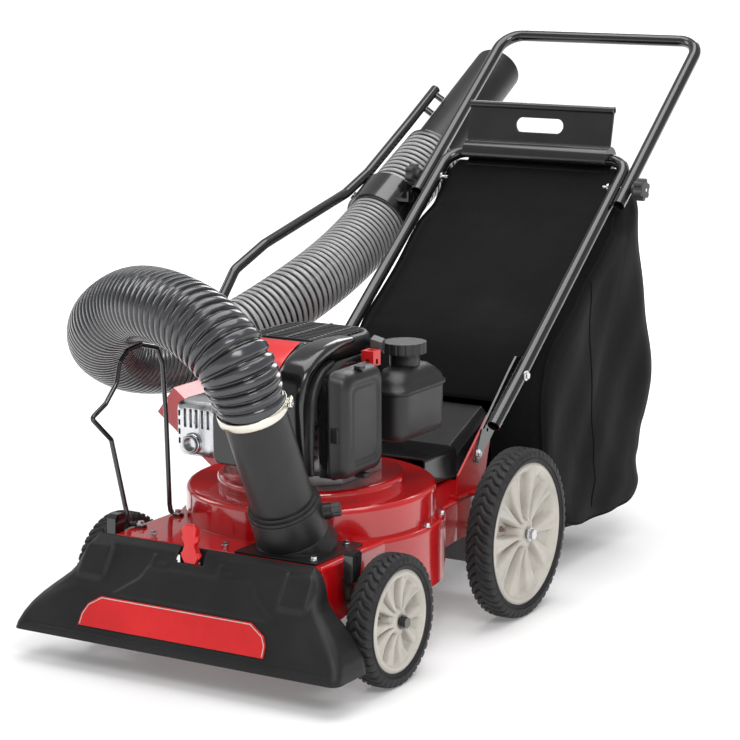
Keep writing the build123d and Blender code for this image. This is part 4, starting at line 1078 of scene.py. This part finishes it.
def make_grille():
    """Louvred top: raised frame, recessed floor and parallel slats."""
    rim = loft("starter_grille_frame", [
        (461, -84, 80, -326, -156, 48), (474, -86, 82, -328, -154, 50),
        (484, -85, 81, -326, -155, 50), (489, -80, 76, -320, -160, 46),
        (489, -74, 70, -313, -166, 42), (478, -72, 68, -311, -168, 40)], "z", GREY)
    attach(rim, "root", SLOT["starter_cover"], "starter_cover")
    bars = []
    for i in range(SLAT_COUNT):
        y = -304 + i * SLAT_PITCH
        # the two slats nearest each end are shorter, to clear the round corners
        half = 70 - {0: 16, 1: 7}.get(min(i, SLAT_COUNT - 1 - i), 0)
        bars.append((-half - 2, half - 2, y, y + 4.6, 477, 491))
    bars += [(-6, -1, -311, -168, 477, 492.5), (-44, -40, -306, -172, 477, 491.6),
             (36, 40, -306, -172, 477, 491.6)]
    slats = bevelled(boxes("starter_grille_slats", bars, GREY))
    attach(slats, "root", SLOT["starter_cover"])


def make_bands():
    """Sloped nose up to the grille, the red band on it and two covers beside it."""
    nose = band("shroud_nose",
                [(BAND_X, -398, 414), (BAND_X, -396, 440), (BAND_X, -380, 462),
                 (BAND_X, -350, 478), (BAND_X, -318, 487)],
                [60, 62, 63, 62, 58], [4, 5, 6, 5, 3], GLOSS, squareness=0.25)
    attach(nose, "root", SLOT["blower_housing"])
    red = band("shroud_red_band",
               [(BAND_X, -402.6, 424), (BAND_X, -400.5, 444), (BAND_X, -385.4, 466.4),
                (BAND_X, -353.6, 483.4), (BAND_X, -328, 490.6)],
               [50, 54, 56, 55, 52], [1.2, 1.3, 1.3, 1.3, 1.0], RED, squareness=0.25)
    attach(red, "root", SLOT["nozzle_badge"])
    arch = band("arched_cover",
                [(66, -396, 318), (66, -401, 372), (66, -401, 420), (68, -388, 455),
                 (70, -352, 476), (72, -300, 486), (74, -250, 487)],
                [25, 26, 26, 27, 25, 21, 16], [6, 9, 10, 11, 10, 8, 5], GLOSS)
    attach(arch, "root", SLOT["blower_housing"])
    side = band("side_cover",
                [(93, -392, 300), (94, -396, 350), (94, -386, 420), (92, -356, 452),
                 (88, -318, 462)],
                [8, 10, 10, 9, 6], [5, 7, 8, 7, 4], GREY)
    attach(side, "root", SLOT["blower_housing"])


def make_filter_cover():
    """Air filter cover with a stepped rim and a sunk panel."""
    shell = loft("filter_cover_shell", [
        (112, -371, -249, 289, 457, 15), (118, -372, -248, 288, 458, 16),
        (119, -370, -250, 290, 456, 16), (134, -369, -251, 291, 455, 18),
        (141, -364, -256, 296, 450, 20), (144, -357, -263, 303, 443, 18),
        (144.6, -352, -268, 308, 438, 16), (142.4, -349, -271, 311, 435, 14),
        (142.2, -345, -275, 315, 431, 12), (143.6, -342, -278, 318, 428, 11)], "x", GREY)
    attach(shell, "root", SLOT["air_filter_cover"], "air_filter_cover")
    latches = boxes("filter_cover_latches", [
        (128, 140, -318, -302, 455, 461), (128, 147, -318, -302, 286, 293),
        (120, 133, -374, -368, 350, 372)], GREY)
    attach(bevelled(latches), "root", SLOT["air_filter_cover"])


def make_fuel_tank():
    """Two moulded halves meeting at a flange, with a filler neck on top."""
    shell = loft("fuel_tank_shell", [
        (322, 100, 150, -214, -86, 16), (325, 96, 154, -219, -80, 20),
        (336, 94, 157, -222, -77, 22), (394, 93.5, 158, -222, -76, 22),
        (397, 93, 158.5, -223, -75, 22), (398, 91, 161, -226, -72, 24),
        (403, 91, 161, -226, -72, 24), (404, 93, 158.5, -223, -75, 22),
        (414, 94, 156, -220, -78, 24), (424, 97, 150, -212, -86, 28),
        (431, 102, 143, -200, -98, 26), (433.5, 108, 136, -188, -110, 22)], "z", GREY)
    attach(shell, "root", SLOT["fuel_tank"], "fuel_tank")
    # (z, radius)
    neck = turned("fuel_tank_neck", [
        (428, 20), (430, 23.5), (436, 24.5), (449, 24.5), (450, 26), (452.3, 26),
        (452.8, 23), (452.8, 12)], (118, -146, 0), AXIS_Z, AXIS_Y, GREY)
    attach(neck, "root", SLOT["fuel_tank"])


def make_silencer_guard():
    """Stamped guard with slots in its front face and a round outlet boss."""
    guard = loft("silencer_guard", [
        (-262, -200, -112, 286, 376, 12), (-300, -201, -111, 285, 377, 14),
        (-322, -200, -112, 286, 376, 16), (-329, -195, -117, 291, 371, 16),
        (-331, -189, -123, 297, 365, 13), (-331, -182, -130, 304, 358, 10)], "y", ZINC)
    edge_slots = [(-194, -189, -345, -310, z, z + 9) for z in range(306, 352, 15)]
    face_slots = [(x, x + 5, -345, -316, 334, 364) for x in range(-182, -137, 11)]
    cut(guard, boxes("guard_cutter", edge_slots + face_slots, ZINC))
    bevelled(guard, width=0.0008)
    attach(guard, "root", SLOT["muffler_guard"], "muffler_guard")
    # (y, radius)
    boss = turned("silencer_outlet_boss", [
        (-331, 17), (-334, 17.5), (-337, 16.5), (-337.5, 13.8), (-334, 13.4),
        (-326, 13.4)], (-166, 0, 308), AXIS_Y, AXIS_Z, ZINC)
    attach(boss, "root", SLOT["muffler_guard"])


def make_dipstick():
    """Red grip with a finger fin."""
    grip = loft("dipstick_grip", [
        (446, 99, 119, -245, -225, 6), (449, 98, 120, -246, -224, 8),
        (457, 98, 120, -246, -224, 8), (459, 100, 118, -240, -230, 4.5),
        (468, 101, 117, -239, -231, 3.8), (470, 103, 115, -238, -232, 2.8)], "z", RED)
    attach(grip, "dipstick", SLOT["dipstick"])


make_shroud()
make_grille()
make_bands()
make_filter_cover()
make_fuel_tank()
make_silencer_guard()
make_dipstick()


# ------------------------------------------------------------------ fittings at the front
def make_slot_liner():
    liner = boxes("lever_slot_liner", [
        (-60, -40, -519.6, -517.6, 160, 188), (-22, -2, -519.6, -517.6, 160, 188),
        (-41, -21, -519.6, -517.6, 184, 188)], MATERIAL["nozzle_black"])
    attach(bevelled(liner, width=0.0004), "root", SLOT["nozzle_shell"])


def make_hose_clamp():
    """Band round the front end of the hose, with its screw and housing."""
    steel = MATERIAL["clamp"]
    start = unit(np.cross(PIPE_AXIS, AXIS_Z))
    quarter = np.cross(PIPE_AXIS, start)
    # (distance along the pipe, radius)
    profile = [(244.6, 52.2), (244.6, 53.4), (245.6, 53.9), (251.5, 54.1), (257.6, 53.9),
               (258.6, 53.4), (258.6, 52.2)]
    points = revolve(profile, 96, PIPE_START, PIPE_AXIS, start, quarter)
    faces = grid_faces(len(profile), 96, close_rows=True, close_cols=True)
    ring = solid_object("band_clamp", points, faces, steel)
    attach(ring, "root", SLOT["hose_clamp"], "hose_clamp")
    outward = np.array([0.87, 0.49, 0.0])
    outward = unit(outward - PIPE_AXIS * outward.dot(PIPE_AXIS))
    along = np.cross(outward, PIPE_AXIS)
    middle = PIPE_START + PIPE_AXIS * 250.5 + outward * 57.4
    screw = tube("band_clamp_screw", [middle - along * 13, middle, middle + along * 13],
                 3.4, ZINC, steps=14, count=12)
    attach(screw, "root", SLOT["hose_clamp"])
    housing = tube("band_clamp_housing", [middle - along * 7.5, middle, middle + along * 6],
                   5.2, steel, steps=6, count=6)
    attach(housing, "root", SLOT["hose_clamp"])


# centre line of the pale line on the red plate: (across, up the slope)
BADGE_LINE = [(-166.5, -23), (-165.5, -7), (-158, 8), (-137.5, 21.4), (-60, 21.4), (60, 21.4),
              (134.5, 21.4), (159.5, 6), (166.5, -7), (167.5, -23)]
BADGE_X, BADGE_Z = -32.0, 94.0
BADGE_LIFT = 2.5
BADGE_LINE_HALF_WIDTH = 0.7


def make_badge_outline():
    """Thin pale line inset from the ends and top of the red plate."""
    centre = np.array([BADGE_X, slope_y(BADGE_Z), BADGE_Z]) + SLOPE_NORMAL * BADGE_LIFT
    up_slope = np.array([0.0, SLOPE_NORMAL[2], -SLOPE_NORMAL[1]])
    rows = []
    last = len(BADGE_LINE) - 1
    for i, (across, up) in enumerate(BADGE_LINE):
        after = np.array(BADGE_LINE[min(i + 1, last)])
        run = unit(after - np.array(BADGE_LINE[max(i - 1, 0)]))
        rows.append([centre + AXIS_X * (across - run[1] * shift) + up_slope * (up + run[0] * shift)
                     for shift in (-BADGE_LINE_HALF_WIDTH, BADGE_LINE_HALF_WIDTH)])
    obj = mesh_object("badge_outline", to_frame(rows), grid_faces(len(rows), 2),
                      MATERIAL["rim"], smooth_shading=False)
    thicken(obj, 0.0006, offset=0)
    fix_normals(obj)
    attach(obj, "root", "rim")


# flat winged handle: stem, two notched wings and a squared head (z, half width)
GRIP_OUTLINE = np.array([
    (178, 9.5), (184, 12), (188, 17), (193, 18.5), (197, 12), (203, 9), (209, 8.5),
    (213, 14.5), (219, 16), (223, 11), (228, 12.5), (234, 12.5), (238, 8)])
GRIP_X, GRIP_Y, GRIP_TOP = -31.0, -530.6, 238.6
GRIP_STEPS = 40


def make_selector_grip():
    turn = full_turn(GRIP_STEPS)
    rings = []
    for z in np.linspace(178, 238, 61):
        x = np.interp(z, *GRIP_OUTLINE.T) * signed_power(np.cos(turn), 0.5)
        half_depth = 5.6 + 1.6 * math.exp(-((z - 206) / 14.0) ** 2)
        y = half_depth * signed_power(np.sin(turn), 0.5) * (0.80 + 0.20 * np.cos(x / 9.0))
        rings.append(np.stack([GRIP_X + x, GRIP_Y + y, np.full(GRIP_STEPS, z)], 1))
    top = np.array([GRIP_X, GRIP_Y, GRIP_TOP])
    # each closing ring shrinks the one before it
    for scale in (0.9, 0.5):
        ring = top + (rings[-1] - top) * scale
        ring[:, 2] = GRIP_TOP
        rings.append(ring)
    obj = solid_object("selector_grip", np.array(rings),
                       capped_tube_faces(len(rings), GRIP_STEPS), RED)
    attach(obj, "selector", SLOT["selector_lever"])


make_slot_liner()
make_hose_clamp()
make_badge_outline()
make_selector_grip()


# ------------------------------------------------------------------ stage, light, camera
def make_floor():
    """Wide white floor that glows more with distance, to meet the white world."""
    lines = np.linspace(-45, 45, 40)
    points = np.array([[(x, y, 0.0) for y in lines] for x in lines])
    shader = Shader("studio_floor")
    coords = shader.coords()
    tone = shader.mix(shader.noise(coords, scale=3.0, detail=3),
                      (0.86, 0.86, 0.86), (0.88, 0.88, 0.88))
    distance = shader.node("VectorMath", {0: coords}, operation="LENGTH").outputs["Value"]
    share = shader.math("DIVIDE", distance, 6.0)
    glow = shader.ramp(share, 0.16, 0.55, low=0.16, high=0.80)
    shader.set({"Base Color": tone, "Roughness": 0.7, "Specular IOR Level": 0.1,
                "Emission Color": (1, 1, 1), "Emission Strength": glow})
    obj = mesh_object("studio_floor", points, grid_faces(40, 40), shader.material)
    fix_normals(obj)


def area_light(name, place, target, width, height, power):
    light = bpy.data.lights.new(name, "AREA")
    light.shape = "RECTANGLE"
    light.size = width
    light.size_y = height
    light.energy = power
    obj = bpy.data.objects.new(name, light)
    obj.location = place
    aim = Vector(target) - Vector(place)
    obj.rotation_euler = aim.to_track_quat("-Z", "Y").to_euler()
    bpy.context.scene.collection.objects.link(obj)


def make_world():
    """White world at 0.40, raised by 0.62 where the camera sees it directly."""
    world = bpy.data.worlds.new("studio")
    bpy.context.scene.world = world
    world.use_nodes = True
    tree = world.node_tree
    camera_ray = add_node(tree, "LightPath").outputs["Is Camera Ray"]
    strength = add_node(tree, "Math", {0: camera_ray, 1: 0.62, 2: 0.40},
                        operation="MULTIPLY_ADD").outputs[0]
    feed(tree, tree.nodes["Background"], {0: (1, 1, 1), 1: strength})


def make_camera():
    """Long lens from the front left, looking slightly down."""
    yaw, pitch, roll = math.radians(31.09), math.radians(11.37), math.radians(-0.27)
    right = Vector((math.cos(yaw), math.sin(yaw), 0))
    forward = Vector((-math.sin(yaw) * math.cos(pitch), math.cos(yaw) * math.cos(pitch),
                      -math.sin(pitch)))
    up = right.cross(forward)
    rolled_right = right * math.cos(roll) + up * math.sin(roll)
    rolled_up = -right * math.sin(roll) + up * math.cos(roll)
    data = bpy.data.cameras.new("photo_view")
    data.sensor_width = 36.0
    data.lens = 121.6576216
    data.clip_end = 50
    camera = bpy.data.objects.new("photo_view", data)
    pose = Matrix((rolled_right, rolled_up, -forward)).transposed().to_4x4()
    pose.translation = point(2083.41, -3512.26, 1207.59)
    camera.matrix_world = pose
    bpy.context.scene.collection.objects.link(camera)
    bpy.context.scene.camera = camera


make_floor()
area_light("key", (2.2, -2.6, 2.6), (0, -0.2, 0.4), width=1.6, height=1.2, power=52)
area_light("top", (0.1, -0.1, 3.0), (0, 0, 0.2), width=2.6, height=2.6, power=66)
area_light("left", (-3.4, -0.6, 2.2), (0, 0, 0.4), width=1.6, height=1.6, power=26)
area_light("back", (-0.8, 3.2, 2.4), (0, 0, 0.4), width=2.0, height=1.4, power=40)
make_world()
make_camera()
bpy.context.scene.view_settings.view_transform = "Standard"
